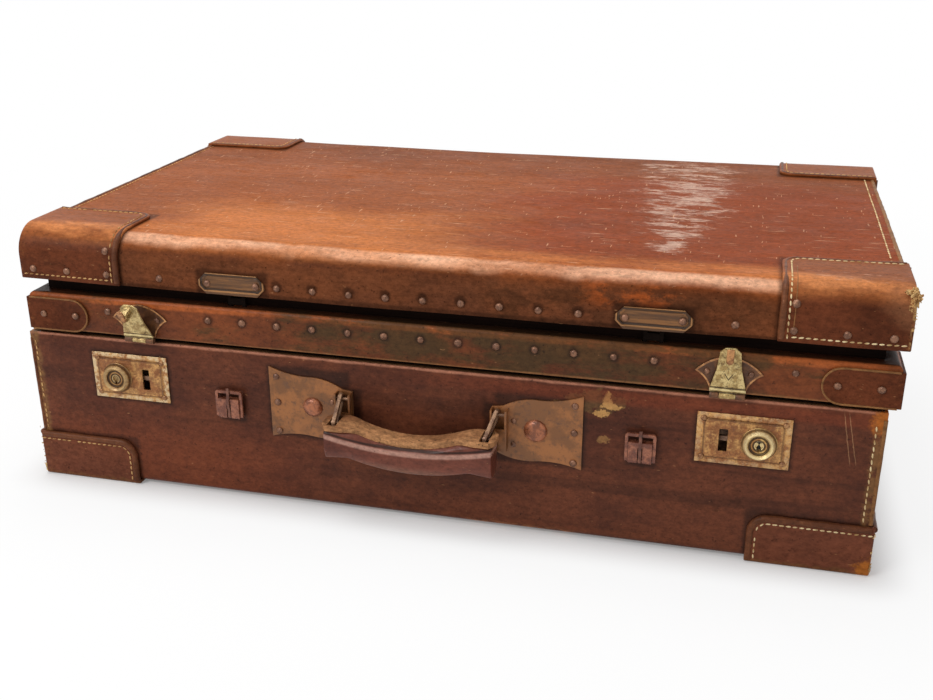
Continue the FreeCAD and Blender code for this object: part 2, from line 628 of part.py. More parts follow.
def inside(section):
    """The same section walked the other way, to close a wall's outline."""
    backwards = [corner[:2] for corner in section][::-1]
    for index, corner in enumerate(section):
        if len(corner) == 3:
            position = len(section) - 2 - index
            backwards[position] = backwards[position] + (f"-({corner[2]})",)
    return backwards


def walls(body, plane, low, high, outer, inner):
    """Ring between two outlines."""
    pad(body, plane, low, high, outer)
    pocket(body, plane, low, high, inner)
    return body


def footprint(inset, lid=False, inset_y=None):
    """Plan of the base or the lid, moved in from its faces."""
    left, right = ("place.lid_left", "place.lid_right") if lid else ("place.left", "place.right")
    across = inset if inset_y is None else inset_y
    return rectangle(
        f"{left} + {inset}", f"place.front + {across}", f"{right} - {inset}", f"place.back - {across}"
    )


SIDES = {"left": "-1", "right": "1"}


def lock_column(spread, side):
    """Place along the case of one of the locks' features."""
    return f"place.lock_x + {SIDES[side]} * ({spread})"


# ---------------------------------------------------------------------------------------------
# Base tray
# ---------------------------------------------------------------------------------------------
lock_mouths = [
    centred(lock_column("place.lock_spread", side), "place.lock_z",
            "size.lock_case_length", "size.lock_case_height")
    for side in SIDES
]

# Five boards: a floor between a front and a back that turn under it, and two ends.
def long_board(name):
    """Board along the front, rounded below to fit the cover."""
    turned = "(size.edge_radius - size.leather)"
    board = new_body(name)
    pad(board, "YZ", "place.left + size.leather", "place.right - size.leather", [
        ("place.front + size.leather", "size.base_top"),
        ("place.front + size.leather", f"place.board_under + {turned}", turned),
        (f"place.front + size.leather + {turned}", "place.board_under"),
        ("place.front + place.wall", "place.board_under"),
        ("place.front + place.wall", "size.base_top"),
    ])
    return board


front_board = long_board("board_front")
for mouth in lock_mouths:
    pocket(front_board, "XZ", "place.case_front", "place.front + place.wall", mouth)
across = ("place.front + place.wall", "place.back - place.wall")
floor_board = block("board_floor", ("place.left + size.leather", "place.right - size.leather"), across,
                    ("place.board_under", "place.board_floor"))
end_board = block("board_end", ("place.right - place.wall", "place.right - size.leather"), across,
                  ("place.board_floor", "size.base_top"))
publish(group("base_board", [front_board, mirrored(long_board("board_back"), "Y", "place.mid_y"), floor_board,
                             end_board, mirrored(end_board, "X", "place.mid_x")]), "base_board")

base_wrap = new_body("base_wrap")
outer_section = trough("place.front", "place.back", "place.under", "size.base_top", "size.edge_radius")
inner_section = trough("place.front + size.leather", "place.back - size.leather",
                       "place.board_under", "size.base_top", "(size.edge_radius - size.leather)")
pad(base_wrap, "YZ", "place.left", "place.right", outer_section + inside(inner_section))
for side in SIDES:
    window = centred(lock_column("place.lock_spread", side), "place.lock_z",
                     "size.lock_case_length - 4 * size.lock_case_wall",
                     "size.lock_case_height - 4 * size.lock_case_wall")
    pocket(base_wrap, "XZ", "place.front", "place.case_front", window)
publish(base_wrap, "base_wrap")

for side, low, high in (("left", "place.left", "place.left + size.leather"),
                        ("right", "place.right - size.leather", "place.right")):
    end = new_body(f"base_end_{side}")
    pad(end, "YZ", low, high, inner_section)
    publish(end, f"base_end_{side}")

base_rim = new_body("base_rim")
lip_outline = footprint("place.lip_x", inset_y="place.lip_y")
lip_inside = footprint("place.lip_x + size.lip_wall", inset_y="place.lip_y + size.lip_wall")
pad(base_rim, "XY", "size.rim_bottom", "place.rim_seat", footprint("place.wall"))
pad(base_rim, "XY", "place.rim_seat", "place.rim_seat + size.lip_rise", lip_outline)
pocket(base_rim, "XY", "size.rim_bottom", "place.rim_seat + size.lip_rise", lip_inside)
publish(base_rim, "base_rim")

base_lining = new_body("base_lining")
pad(base_lining, "XY", "place.board_floor", "size.rim_bottom", footprint("place.wall"))
pocket(base_lining, "XY", "place.board_floor + size.lining", "size.rim_bottom",
       footprint("place.wall + size.lining"))
for mouth in lock_mouths:
    pocket(base_lining, "XZ", "place.front + place.wall", "place.front + place.wall + size.lining", mouth)
publish(base_lining, "base_lining")

# A corner cap wraps the front, the end and the underside of the base.
cap = new_body("base_cap")
cap_x = "place.right - size.base_cap_length"
cap_y = "place.front + size.base_cap_length"
pad(cap, "XY", "0", "size.base_cap_height",
    rectangle(cap_x, "place.front - size.cap_leather", "place.right + size.cap_leather", cap_y))
pocket(cap, "XY", "place.under", "size.base_cap_height",
       rectangle(cap_x, "place.front", "place.right", cap_y))
fillet(cap, "size.base_cap_heel", ("Z", {"x": number(cap_x), "y": number(cap_y)}))
fillet(cap, "size.base_cap_radius",
       ("Y", {"x": number(cap_x), "z": number("size.base_cap_height")}),
       ("X", {"y": number(cap_y), "z": number("size.base_cap_height")}))
chamfer(cap, "size.cap_leather / 2",
        ("Z", {"x": number("place.right + size.cap_leather"), "y": number("place.front - size.cap_leather")}),
        ("X", {"y": number("place.front - size.cap_leather"), "z": 0.0}),
        ("Y", {"x": number("place.right + size.cap_leather"), "z": 0.0}))
front_caps = [cap, mirrored(cap, "X", "place.mid_x")]
publish(group("base_caps_front", front_caps), "base_caps_front")
publish(group("base_caps_back", [mirrored(c, "Y", "place.mid_y") for c in front_caps]), "base_caps_back")

# ---------------------------------------------------------------------------------------------
# Locks: the right one is made and the left one is its mirror image
# ---------------------------------------------------------------------------------------------
plate_x = lock_column("place.lock_spread", "right")
slot_x = lock_column("place.slot_spread", "right")
knob_x = lock_column("place.knob_spread", "right")
stem_slot = rectangle(f"{knob_x} - size.stem_radius - size.stem_fit",
                      "place.staple_z - size.stem_radius - size.stem_fit",
                      f"{knob_x} + size.stem_radius + size.stem_fit + size.bolt_stroke",
                      "place.staple_z + size.stem_radius + size.stem_fit")

lock_plate = new_body("lock_plate")
pad(lock_plate, "XZ", "place.front - size.lock_sheet", "place.front",
    centred(plate_x, "place.lock_z", "size.lock_plate_length", "size.lock_plate_height"))
pad(lock_plate, "XZ", "place.plate_face", "place.front - size.lock_sheet",
    centred(plate_x, "place.lock_z", "size.lock_plate_length - 2 * size.lock_border",
            "size.lock_plate_height - 2 * size.lock_border"))
for corner_x in ("-1", "1"):
    for corner_z in ("-1", "1"):
        corner = centred(
            f"{plate_x} + {corner_x} * (size.lock_plate_length / 2 - size.lock_border)",
            f"place.lock_z + {corner_z} * (size.lock_plate_height / 2 - size.lock_border)",
            "2 * size.small_rivet", "2 * size.small_rivet")
        pocket(lock_plate, "XZ", "place.plate_face", "place.front - size.lock_sheet", corner)
pocket(lock_plate, "XZ", "place.plate_face", "place.front",
       centred(slot_x, "place.staple_z", "size.slot_width", "size.slot_height"))
pocket(lock_plate, "XZ", "place.plate_face", "place.front", stem_slot)
publish(lock_plate, "lock_plate_right")
publish(mirrored(lock_plate, "X", "place.lock_x"), "lock_plate_left")

lock_case = new_body("lock_case")
pad(lock_case, "XZ", "place.case_front", "place.case_back",
    centred(plate_x, "place.lock_z", "size.lock_case_length", "size.lock_case_height"))
pocket(lock_case, "XZ", "place.case_front", "place.case_back - size.lock_case_wall",
       centred(plate_x, "place.lock_z", "size.lock_case_length - 2 * size.lock_case_wall",
               "size.lock_case_height - 2 * size.lock_case_wall"))
publish(group("lock_cases", [lock_case, mirrored(lock_case, "X", "place.lock_x")]), "lock_cases")

lock_knob = new_body("lock_knob")
knob_low = "place.plate_face - size.seat_gap"
knob_high = f"({knob_low} - size.knob_height)"
knob_floor = f"({knob_high} + size.knob_recess)"
turn(lock_knob, knob_x, "place.staple_z", [
    ("0", "place.bolt_front"),
    ("size.stem_radius", "place.bolt_front"),
    ("size.stem_radius", knob_low),
    ("size.knob_radius", knob_low),
    ("size.knob_crest", knob_high),
    ("size.knob_bore", knob_floor),
    ("0", knob_floor),
])
pocket(lock_knob, "XZ", knob_floor, f"{knob_floor} + size.knob_recess",
       circles=[(knob_x, "place.staple_z", "size.key_hole")])
pocket(lock_knob, "XZ", knob_floor, f"{knob_floor} + size.knob_recess",
       rectangle(f"{knob_x} - size.key_width / 2", "place.staple_z - size.key_reach",
                 f"{knob_x} + size.key_width / 2", "place.staple_z"))
publish(lock_knob, "lock_knob_right")
publish(mirrored(lock_knob, "X", "place.lock_x"), "lock_knob_left")

lock_bolt = new_body("lock_bolt")
bolt_tip = f"{slot_x} - size.staple_width / 2 - size.bolt_overlap"
bolt_outer = f"{knob_x} + size.bolt_plate / 2"
pad(lock_bolt, "XZ", "place.bolt_front", "place.bolt_back",
    rectangle(bolt_tip, "place.staple_z - size.bolt_height / 2", knob_x,
              "place.staple_z + size.bolt_height / 2"))
pad(lock_bolt, "XZ", "place.bolt_front", "place.bolt_back",
    centred(knob_x, "place.staple_z", "size.bolt_plate", "size.bolt_plate"))
publish(lock_bolt, "lock_bolt_right")
publish(mirrored(lock_bolt, "X", "place.lock_x"), "lock_bolt_left")

# The spring is a zigzag strip between the bolt and the end of the case.
lock_spring = new_body("lock_spring")
spring_end = f"({plate_x} + size.lock_case_length / 2 - size.lock_case_wall)"
spring_run = f"({spring_end} - ({bolt_outer}))"
FOLDS = 5
upper, lower = [], []
for fold in range(FOLDS + 1):
    level = "1" if fold % 2 else "-1"
    x = f"{bolt_outer} + size.spring_sheet + ({spring_run} - 2 * size.spring_sheet) * {fold} / {FOLDS}"
    z = f"place.staple_z + {level} * size.spring_height / 2"
    upper.append((f"{x} + size.spring_sheet", z))
    lower.append((f"{x} - size.spring_sheet", z))
pad(lock_spring, "XZ", "place.case_front + size.seat_gap", "place.bolt_back - size.seat_gap",
    lower + upper[::-1])
publish(lock_spring, "lock_spring_right")
publish(mirrored(lock_spring, "X", "place.lock_x"), "lock_spring_left")

lock_rivets = []
for side in SIDES:
    for corner_x in ("-1", "1"):
        for corner_z in ("-1", "1"):
            lock_rivets.append(rivet(
                small_head, "front",
                lock_column("place.lock_spread", side)
                + f" + {corner_x} * (size.lock_plate_length / 2 - size.lock_border)",
                "place.front - size.lock_sheet",
                f"place.lock_z + {corner_z} * (size.lock_plate_height / 2 - size.lock_border)"))
publish(group("lock_rivets", lock_rivets), "lock_rivets")

# ---------------------------------------------------------------------------------------------
# Handle plates: sheet with hollow edges, folded at the tip round the link's pin
# ---------------------------------------------------------------------------------------------
def from_middle(distance, side="right"):
    return f"place.mid_x + {SIDES[side]} * ({distance})"


handle_plate = new_body("handle_plate")
pad(handle_plate, "XZ", "place.front - size.plate_sheet", "place.front", [
    (from_middle("size.plate_outer"), "size.plate_low"),
    (from_middle("size.plate_outer"), "size.plate_high", "-size.plate_hollow_arc"),
    (from_middle("size.plate_waist_x"), "size.plate_waist_high", "size.plate_shoulder_arc"),
    (from_middle("size.plate_neck_x"), "size.plate_neck_high"),
    (from_middle("size.plate_tip"), "size.plate_tip_high"),
    (from_middle("size.plate_tip"), "size.plate_tip_low", "size.plate_shoulder_arc"),
    (from_middle("size.plate_waist_x"), "size.plate_waist_low", "-size.plate_hollow_arc"),
])
fold_low = from_middle("size.plate_tip")
fold_high = from_middle("size.plate_tip + size.fold_width")
pad(handle_plate, "XY", "size.fold_bottom", "size.plate_tip_high",
    rectangle(fold_low, "place.front - place.fold_outer", fold_high, "place.front - size.plate_sheet"))
pocket(handle_plate, "XY", "size.fold_bottom", "size.plate_tip_high",
       rectangle(f"{fold_low} + size.plate_sheet", "place.front - place.fold_inner",
                 f"{fold_high} - size.plate_sheet", "place.front - size.plate_sheet"))
pocket(handle_plate, "XZ", "place.front - place.fold_outer", "place.front - place.fold_inner",
       rectangle(f"{fold_low} + size.plate_sheet + size.fold_slot_rim", "size.fold_slot_bottom",
                 f"{fold_high} - size.plate_sheet - size.fold_slot_rim", "size.plate_tip_high"))
pocket(handle_plate, "YZ", fold_low, fold_high,
       circles=[("place.pin_y", "size.link_pin_height", "size.link_pin + size.pin_fit")])
chamfer(handle_plate, "size.plate_sheet / 2",
        ("Z", {"x": number(fold_low), "y": number("place.front - place.fold_outer")}),
        ("Z", {"x": number(fold_high), "y": number("place.front - place.fold_outer")}))
publish(handle_plate, "handle_plate_right")
publish(mirrored(handle_plate, "X", "place.mid_x"), "handle_plate_left")

link_pins, bosses, base_rivets = [], [], []
for side in SIDES:
    link_pins.append(rod("link_pin", "X", from_middle("size.plate_tip + size.fold_width / 2", side),
                         "place.pin_y", "size.link_pin_height", "size.link_pin", "size.fold_width"))
    bosses.append(boss("front", from_middle("size.boss_x", side), "place.front - size.plate_sheet",
                       "size.boss_height"))
    for height in ("size.plate_low + size.plate_rivet_low", "(size.plate_low + size.plate_high) / 2",
                   "size.plate_high - size.plate_rivet_high"):
        base_rivets.append(rivet(dome_head, "front",
                                 from_middle("size.plate_outer - size.plate_rivet_in", side),
                                 "place.front - size.plate_sheet", height))
    for height in ("size.fold_bottom + size.fold_rivet_low", "size.plate_tip_high - size.fold_rivet_high"):
        base_rivets.append(rivet(small_head, "front",
                                 from_middle("size.plate_tip + size.fold_width + size.fold_rivet_out", side),
                                 "place.front - size.plate_sheet", height))
publish(group("handle_pins", link_pins), "handle_pins")
publish(group("handle_bosses", bosses), "handle_bosses")

# ---------------------------------------------------------------------------------------------
# Links: closed rings of wire, made upright with the upper eye at the origin
# ---------------------------------------------------------------------------------------------
def wire_ring(name, span):
    """Long ring in the YZ plane that reaches down from the origin."""
    def race(radius):
        return [(radius, "0", radius), ("0", radius, radius), (f"-{radius}", "0"),
                (f"-{radius}", f"-({span})", radius), ("0", f"-({span}) - {radius}", radius),
                (radius, f"-({span})")]

    ring = new_body(name)
    pad(ring, "YZ", "-size.link_wire", "size.link_wire", race("place.link_outer"))
    pocket(ring, "YZ", "-size.link_wire", "size.link_wire", race("(place.link_ring - size.link_wire)"))
    return ring


def aim(piece, start, end):
    """Stand a piece's foot on a line from its upper end to its lower end."""
    reach = FreeCAD.Vector(*(number(b) - number(a) for a, b in zip(start, end)))
    tilt = FreeCAD.Rotation(AXES["X"], -math.degrees(math.atan2(-reach.y, -reach.z)))
    upright = tilt.inverted().multVec(reach)
    lean = FreeCAD.Rotation(AXES["Y"], math.degrees(math.atan2(-upright.x, -upright.z)))
    piece.Placement.Rotation = tilt * lean
    return put(piece, *start)


upper_pin = ("place.pin_y", "size.link_pin_height")
lower_pin = ("place.grip_y", "place.grip_z")
left_x = from_middle("size.link_left_x", "left")
link_left = aim(wire_ring("link_left", "size.link_length"), (left_x, *upper_pin), (left_x, *lower_pin))
publish(link_left, "link_left")
slant = "sqrt(size.link_length ^ 2 + (size.link_right_x - size.link_right_foot) ^ 2)"
link_right = aim(wire_ring("link_right", slant), (from_middle("size.link_right_x"), *upper_pin),
                 (from_middle("size.link_right_foot"), *lower_pin))
publish(link_right, "link_right")

# ---------------------------------------------------------------------------------------------
# Grip: a padded leather roll under a laced strap, both swept along one sagging line
# ---------------------------------------------------------------------------------------------
def sagging_sweep(body, section, reach):
    """Sweep a section along the grip's line: flat ends, a bend and a sagging middle."""
    bend_end_x = "place.bend_x - size.grip_bend * sin(place.sag_angle)"
    bend_end_z = "place.grip_z - size.grip_bend * (1 - cos(place.sag_angle))"
    line = [
        (f"place.grip_x - ({reach})", "place.grip_z"),
        ("place.grip_x - place.bend_x", "place.grip_z", "-size.grip_bend"),
        (f"place.grip_x - ({bend_end_x})", bend_end_z, "place.sag_arc"),
        (f"place.grip_x + ({bend_end_x})", bend_end_z, "-size.grip_bend"),
        ("place.grip_x + place.bend_x", "place.grip_z"),
        (f"place.grip_x + ({reach})", "place.grip_z"),
    ]
    spine = new_sketch(body, "XZ", "place.grip_y", line, closed=False)
    profile = new_sketch(body, "YZ", f"place.grip_x - ({reach})", section)
    feature = body.newObject("PartDesign::AdditivePipe", f"{body.Name}_sweep")
    feature.Profile = profile
    feature.Spine = (spine, [f"Edge{i}" for i in range(1, len(line))])
    feature.Transition = "Transformed"
    return feature


strap_top = "(place.grip_z + size.strap_half)"
strap_under = "(place.grip_z - size.strap_half)"
strap_band = new_body("strap_band")
strap_reach = "(place.hole_spread + size.lobe_length)"
sagging_sweep(strap_band, rectangle("place.grip_y - size.lobe_depth", strap_under,
                                    "place.grip_y + size.lobe_depth", strap_top), strap_reach)

# Plan of the strap: a lobe round each hole and a slimmer waist between them.
strap_plan = new_body("strap_plan")
lobe_in = "(place.hole_spread - size.lobe_length)"
waist_x = f"({lobe_in} - size.strap_neck)"
quarter = []
for sign_x, sign_y in (("1", "-1"), ("1", "1"), ("-1", "1"), ("-1", "-1")):
    side_points = [
        (f"{waist_x}", "size.strap_waist"),
        (f"{lobe_in}", "size.lobe_depth"),
        (f"(place.hole_spread + size.lobe_length / 2)", "size.lobe_depth"),
        (strap_reach, "size.lobe_depth / 2"),
    ]
    if sign_x != sign_y:
        ordered = side_points
    else:
        ordered = side_points[::-1]
    quarter += [(f"place.grip_x + {sign_x} * {u}", f"place.grip_y + {sign_y} * {v}") for u, v in ordered]
pad(strap_plan, "XY", "place.grip_z - 2 * size.grip_sag", f"{strap_top} + size.grip_sag", quarter)


def at_holes(make):
    """The same cutter at each of the grip's two holes."""
    return [make(f"place.grip_x + {sign} * place.hole_spread") for sign in ("-1", "1")]


strap_holes = at_holes(lambda x: block("strap_hole", (f"{x} - size.hole_half", f"{x} + size.hole_half"),
                                       ("place.grip_y - size.hole_reach", "place.grip_y + size.hole_reach"),
                                       (strap_under, strap_top)))
pin_bores = at_holes(lambda x: rod("pin_bore", "X", x, "place.grip_y", "place.grip_z",
                                   "size.link_pin + size.pin_fit", "size.end_pin_length"))
strap = cut("grip_strap", common("strap_blank", strap_band, strap_plan), *strap_holes, *pin_bores)
publish(strap, "grip_strap")

grip_body = new_body("grip_roll")
roll_low = f"({strap_under} - size.grip_height)"
grip_section = []
for sign in ("-", "+"):
    edge = f"place.grip_y {sign} size.grip_depth"
    half = [
        (f"{edge} - ({sign}size.grip_shoulder)", strap_under),
        (edge, f"{strap_under} - size.grip_shoulder"),
        (edge, f"{roll_low} + size.grip_roll"),
        (f"{edge} - ({sign}size.grip_facet)", f"{roll_low} + size.grip_facet"),
        (f"{edge} - ({sign}size.grip_roll)", roll_low),
    ]
    grip_section += half if sign == "-" else half[::-1]
sagging_sweep(grip_body, grip_section, "(place.hole_spread + size.grip_end)")
eye_pockets = at_holes(lambda x: rod("eye_pocket", "X", x, "place.grip_y", "place.grip_z",
                                     "place.link_outer + size.link_play", "2 * size.hole_half"))
publish(cut("grip", grip_body, *eye_pockets), "grip")
end_pins = at_holes(lambda x: rod("end_pin", "X", x, "place.grip_y", "place.grip_z",
                                  "size.link_pin", "size.end_pin_length"))
publish(group("grip_pins", end_pins), "grip_pins")

# ---------------------------------------------------------------------------------------------
# Strap buckles: a folded chape, a wire frame and a prong on one pivot
# ---------------------------------------------------------------------------------------------
chapes = []
for side in SIDES:
    x = from_middle(f"size.buckle_{side}", side)
    bore = "(size.buckle_wire + size.pin_fit)"
    fold = f"({bore} + size.chape_sheet)"
    chape_top = "(size.buckle_axis + size.chape_height)"
    low_x, high_x = f"{x} - size.chape_width / 2", f"{x} + size.chape_width / 2"

    chape = new_body(f"buckle_chape_{side}")
    pad(chape, "YZ", low_x, high_x, [
        ("place.front", chape_top),
        (f"place.buckle_y - {fold}", chape_top),
        (f"place.buckle_y - {fold}", "size.buckle_axis", fold),
        ("place.buckle_y", f"size.buckle_axis - {fold}", fold),
        (f"place.buckle_y + {fold}", "size.buckle_axis"),
        ("place.front", "size.buckle_axis"),
    ])
    pocket(chape, "YZ", low_x, high_x, circles=[("place.buckle_y", "size.buckle_axis", bore)])
    pocket(chape, "XZ", f"place.buckle_y - {fold}", "place.front - size.chape_sheet",
           centred(x, "size.buckle_axis", "size.chape_slot", "2 * size.chape_slot_rise"))
    chapes.append(chape)

    # frame round the chape, pivoting on its own lower bar
    half = "(size.buckle_width / 2 - size.buckle_wire)"
    frame = new_body(f"buckle_frame_{side}")
    pad(frame, "YZ", f"-{half}", half, circles=[("0", "0", "size.buckle_wire")])
    outer = f"({half} + size.buckle_wire)"
    inner = f"({half} - size.buckle_wire)"
    high = "(size.buckle_height + size.buckle_wire)"
    round_off = "(2 * size.buckle_wire)"
    pad(frame, "XZ", "-size.buckle_wire", "size.buckle_wire", [
        (f"-{outer}", "0"),
        (f"-{inner}", "0"),
        (f"-{inner}", "size.buckle_height - size.buckle_wire"),
        (inner, "size.buckle_height - size.buckle_wire"),
        (inner, "0"),
        (outer, "0"),
        (outer, f"{high} - {round_off}", round_off),
        (f"{outer} - {round_off}", high),
        (f"-{outer} + {round_off}", high, round_off),
        (f"-{outer}", f"{high} - {round_off}"),
    ])
    for sign in ("-1", "1"):
        low_x, high_x = (f"-{outer}", f"-{inner}") if sign == "-1" else (inner, outer)
        pad(frame, "YZ", low_x, high_x, circles=[("0", "0", "size.buckle_wire")])
    publish(put(frame, x, "place.buckle_y", "size.buckle_axis"), f"buckle_frame_{side}")

    # prong with its eye round the frame's lower bar, lying in the chape's slot
    prong = new_body(f"buckle_prong_{side}")
    eye = f"({bore} + size.prong_sheet)"
    over_chape = f"({fold} + size.seat_gap)"
    over_bar = "(size.buckle_wire + size.seat_gap)"
    slot_end = "(size.chape_slot_rise - size.seat_gap)"
    tip = "(size.buckle_height + size.prong_reach)"
    side_line = [(bore, "0"), (bore, f"{slot_end} - 2 * size.prong_width"), (over_chape, slot_end),
                 (over_chape, "size.chape_height"), (over_bar, "size.chape_height + size.prong_width"),
                 (over_bar, tip)]
    pad(prong, "YZ", "-size.prong_width / 2", "size.prong_width / 2", circles=[("0", "0", eye)])
    pad(prong, "YZ", "-size.prong_width / 2", "size.prong_width / 2",
        [(f"-({y})", z) for y, z in side_line]
        + [(f"-({y} + size.prong_sheet)", z) for y, z in side_line[::-1]])
    pocket(prong, "YZ", "-size.prong_width / 2", "size.prong_width / 2", circles=[("0", "0", bore)])
    publish(put(prong, x, "place.buckle_y", "size.buckle_axis"), f"buckle_prong_{side}")
publish(group("buckle_chapes", chapes), "buckle_chapes")

# ---------------------------------------------------------------------------------------------
# Lid frame
# ---------------------------------------------------------------------------------------------
EXPANDERS = [f"place.expander_mid + ({sign}) * size.expander_x" for sign in ("-1", "1")]
FACES = ("front", "back")


def in_from(face, low, high):
    """Levels along Y between two depths measured in from the front or the back."""
    if face == "front":
        return f"place.front + {low}", f"place.front + {high}"
    return f"place.back - ({high})", f"place.back - ({low})"


def catch_hole(x, z):
    """Outline that lets a catch bolt through."""
    return centred(x, z, "size.catch_bolt_width + 2 * size.catch_fit",
                   "size.catch_bolt_height + 2 * size.catch_fit")


frame_leather = new_body("frame_leather")
pad(frame_leather, "XY", "place.frame_low", "place.frame_top", footprint("0", lid=True))
ledge = {"z": number("place.frame_top")}
fillet(frame_leather, "size.frame_radius",
       ("X", {"y": number("place.front"), **ledge}), ("X", {"y": number("place.back"), **ledge}),
       ("Y", {"x": number("place.lid_left"), **ledge}), ("Y", {"x": number("place.lid_right"), **ledge}))
pocket(frame_leather, "XY", "place.frame_low", "place.frame_top - size.leather",
       footprint("size.leather", lid=True))
pocket(frame_leather, "XY", "place.frame_low", "place.frame_top", footprint("size.ledge_depth", lid=True))
for x in EXPANDERS:
    for face in FACES:
        low_y, high_y = in_from(face, "place.wall - size.rack_slot_gap",
                                "place.rack_out + size.rack_slot_gap")
        pocket(frame_leather, "XY", "place.frame_low", "place.frame_top",
               rectangle(f"{x} - size.rack_width / 2 - size.rack_slot_gap", low_y,
                         f"{x} + size.rack_width / 2 + size.rack_slot_gap", high_y))
publish(frame_leather, "frame_leather")

frame_board = new_body("frame_board")
walls(frame_board, "XY", "place.frame_low", "place.frame_top - size.leather - size.frame_radius / 2",
      footprint("size.leather", lid=True), footprint("place.frame_wall", lid=True))
publish(frame_board, "frame_board")

inner_wall = new_body("frame_inner_wall")
pad(inner_wall, "XY", "place.frame_low", "place.frame_low + size.foot_height",
    footprint("place.frame_wall", lid=True))
pad(inner_wall, "XY", "place.frame_low", "place.inner_top", footprint("size.ledge_depth", lid=True))
pocket(inner_wall, "XY", "place.frame_low", "place.inner_top", footprint("place.wall_inner", lid=True))
for x in EXPANDERS:
    pocket(inner_wall, "XZ", "place.front", "place.back", catch_hole(x, "place.catch_z"))
publish(inner_wall, "frame_inner_wall")

# Corner patches: a tongue of leather on the face and another on the end.
patch_mid = "(place.frame_low + (size.frame_height - size.frame_radius) / 2)"
patch_half = "(size.patch_height / 2)"
patch = new_body("frame_patch")
patch_x = "place.lid_right - size.patch_length"
patch_y = "place.front + size.patch_length"
tongue_x = [
    (f"place.lid_right + size.patch_leather", f"{patch_mid} - {patch_half}"),
    (f"place.lid_right + size.patch_leather", f"{patch_mid} + {patch_half}"),
    (f"{patch_x} + {patch_half}", f"{patch_mid} + {patch_half}", patch_half),
    (patch_x, patch_mid, patch_half),
    (f"{patch_x} + {patch_half}", f"{patch_mid} - {patch_half}"),
]
pad(patch, "XZ", "place.front - size.patch_leather", "place.front", tongue_x)
tongue_y = [
    ("place.front", f"{patch_mid} - {patch_half}"),
    (f"{patch_y} - {patch_half}", f"{patch_mid} - {patch_half}", patch_half),
    (patch_y, patch_mid, patch_half),
    (f"{patch_y} - {patch_half}", f"{patch_mid} + {patch_half}"),
    ("place.front", f"{patch_mid} + {patch_half}"),
]
pad(patch, "YZ", "place.lid_right", "place.lid_right + size.patch_leather", tongue_y)
fillet(patch, "size.patch_leather / 2",
       ("Z", {"x": number("place.lid_right + size.patch_leather"),
              "y": number("place.front - size.patch_leather")}))
lid_mid = "place.mid_x + size.lid_shift"
patches = [patch, mirrored(patch, "X", lid_mid)]
patches += [mirrored(p, "Y", "place.mid_y") for p in list(patches)]
publish(group("frame_patches", patches), "frame_patches")

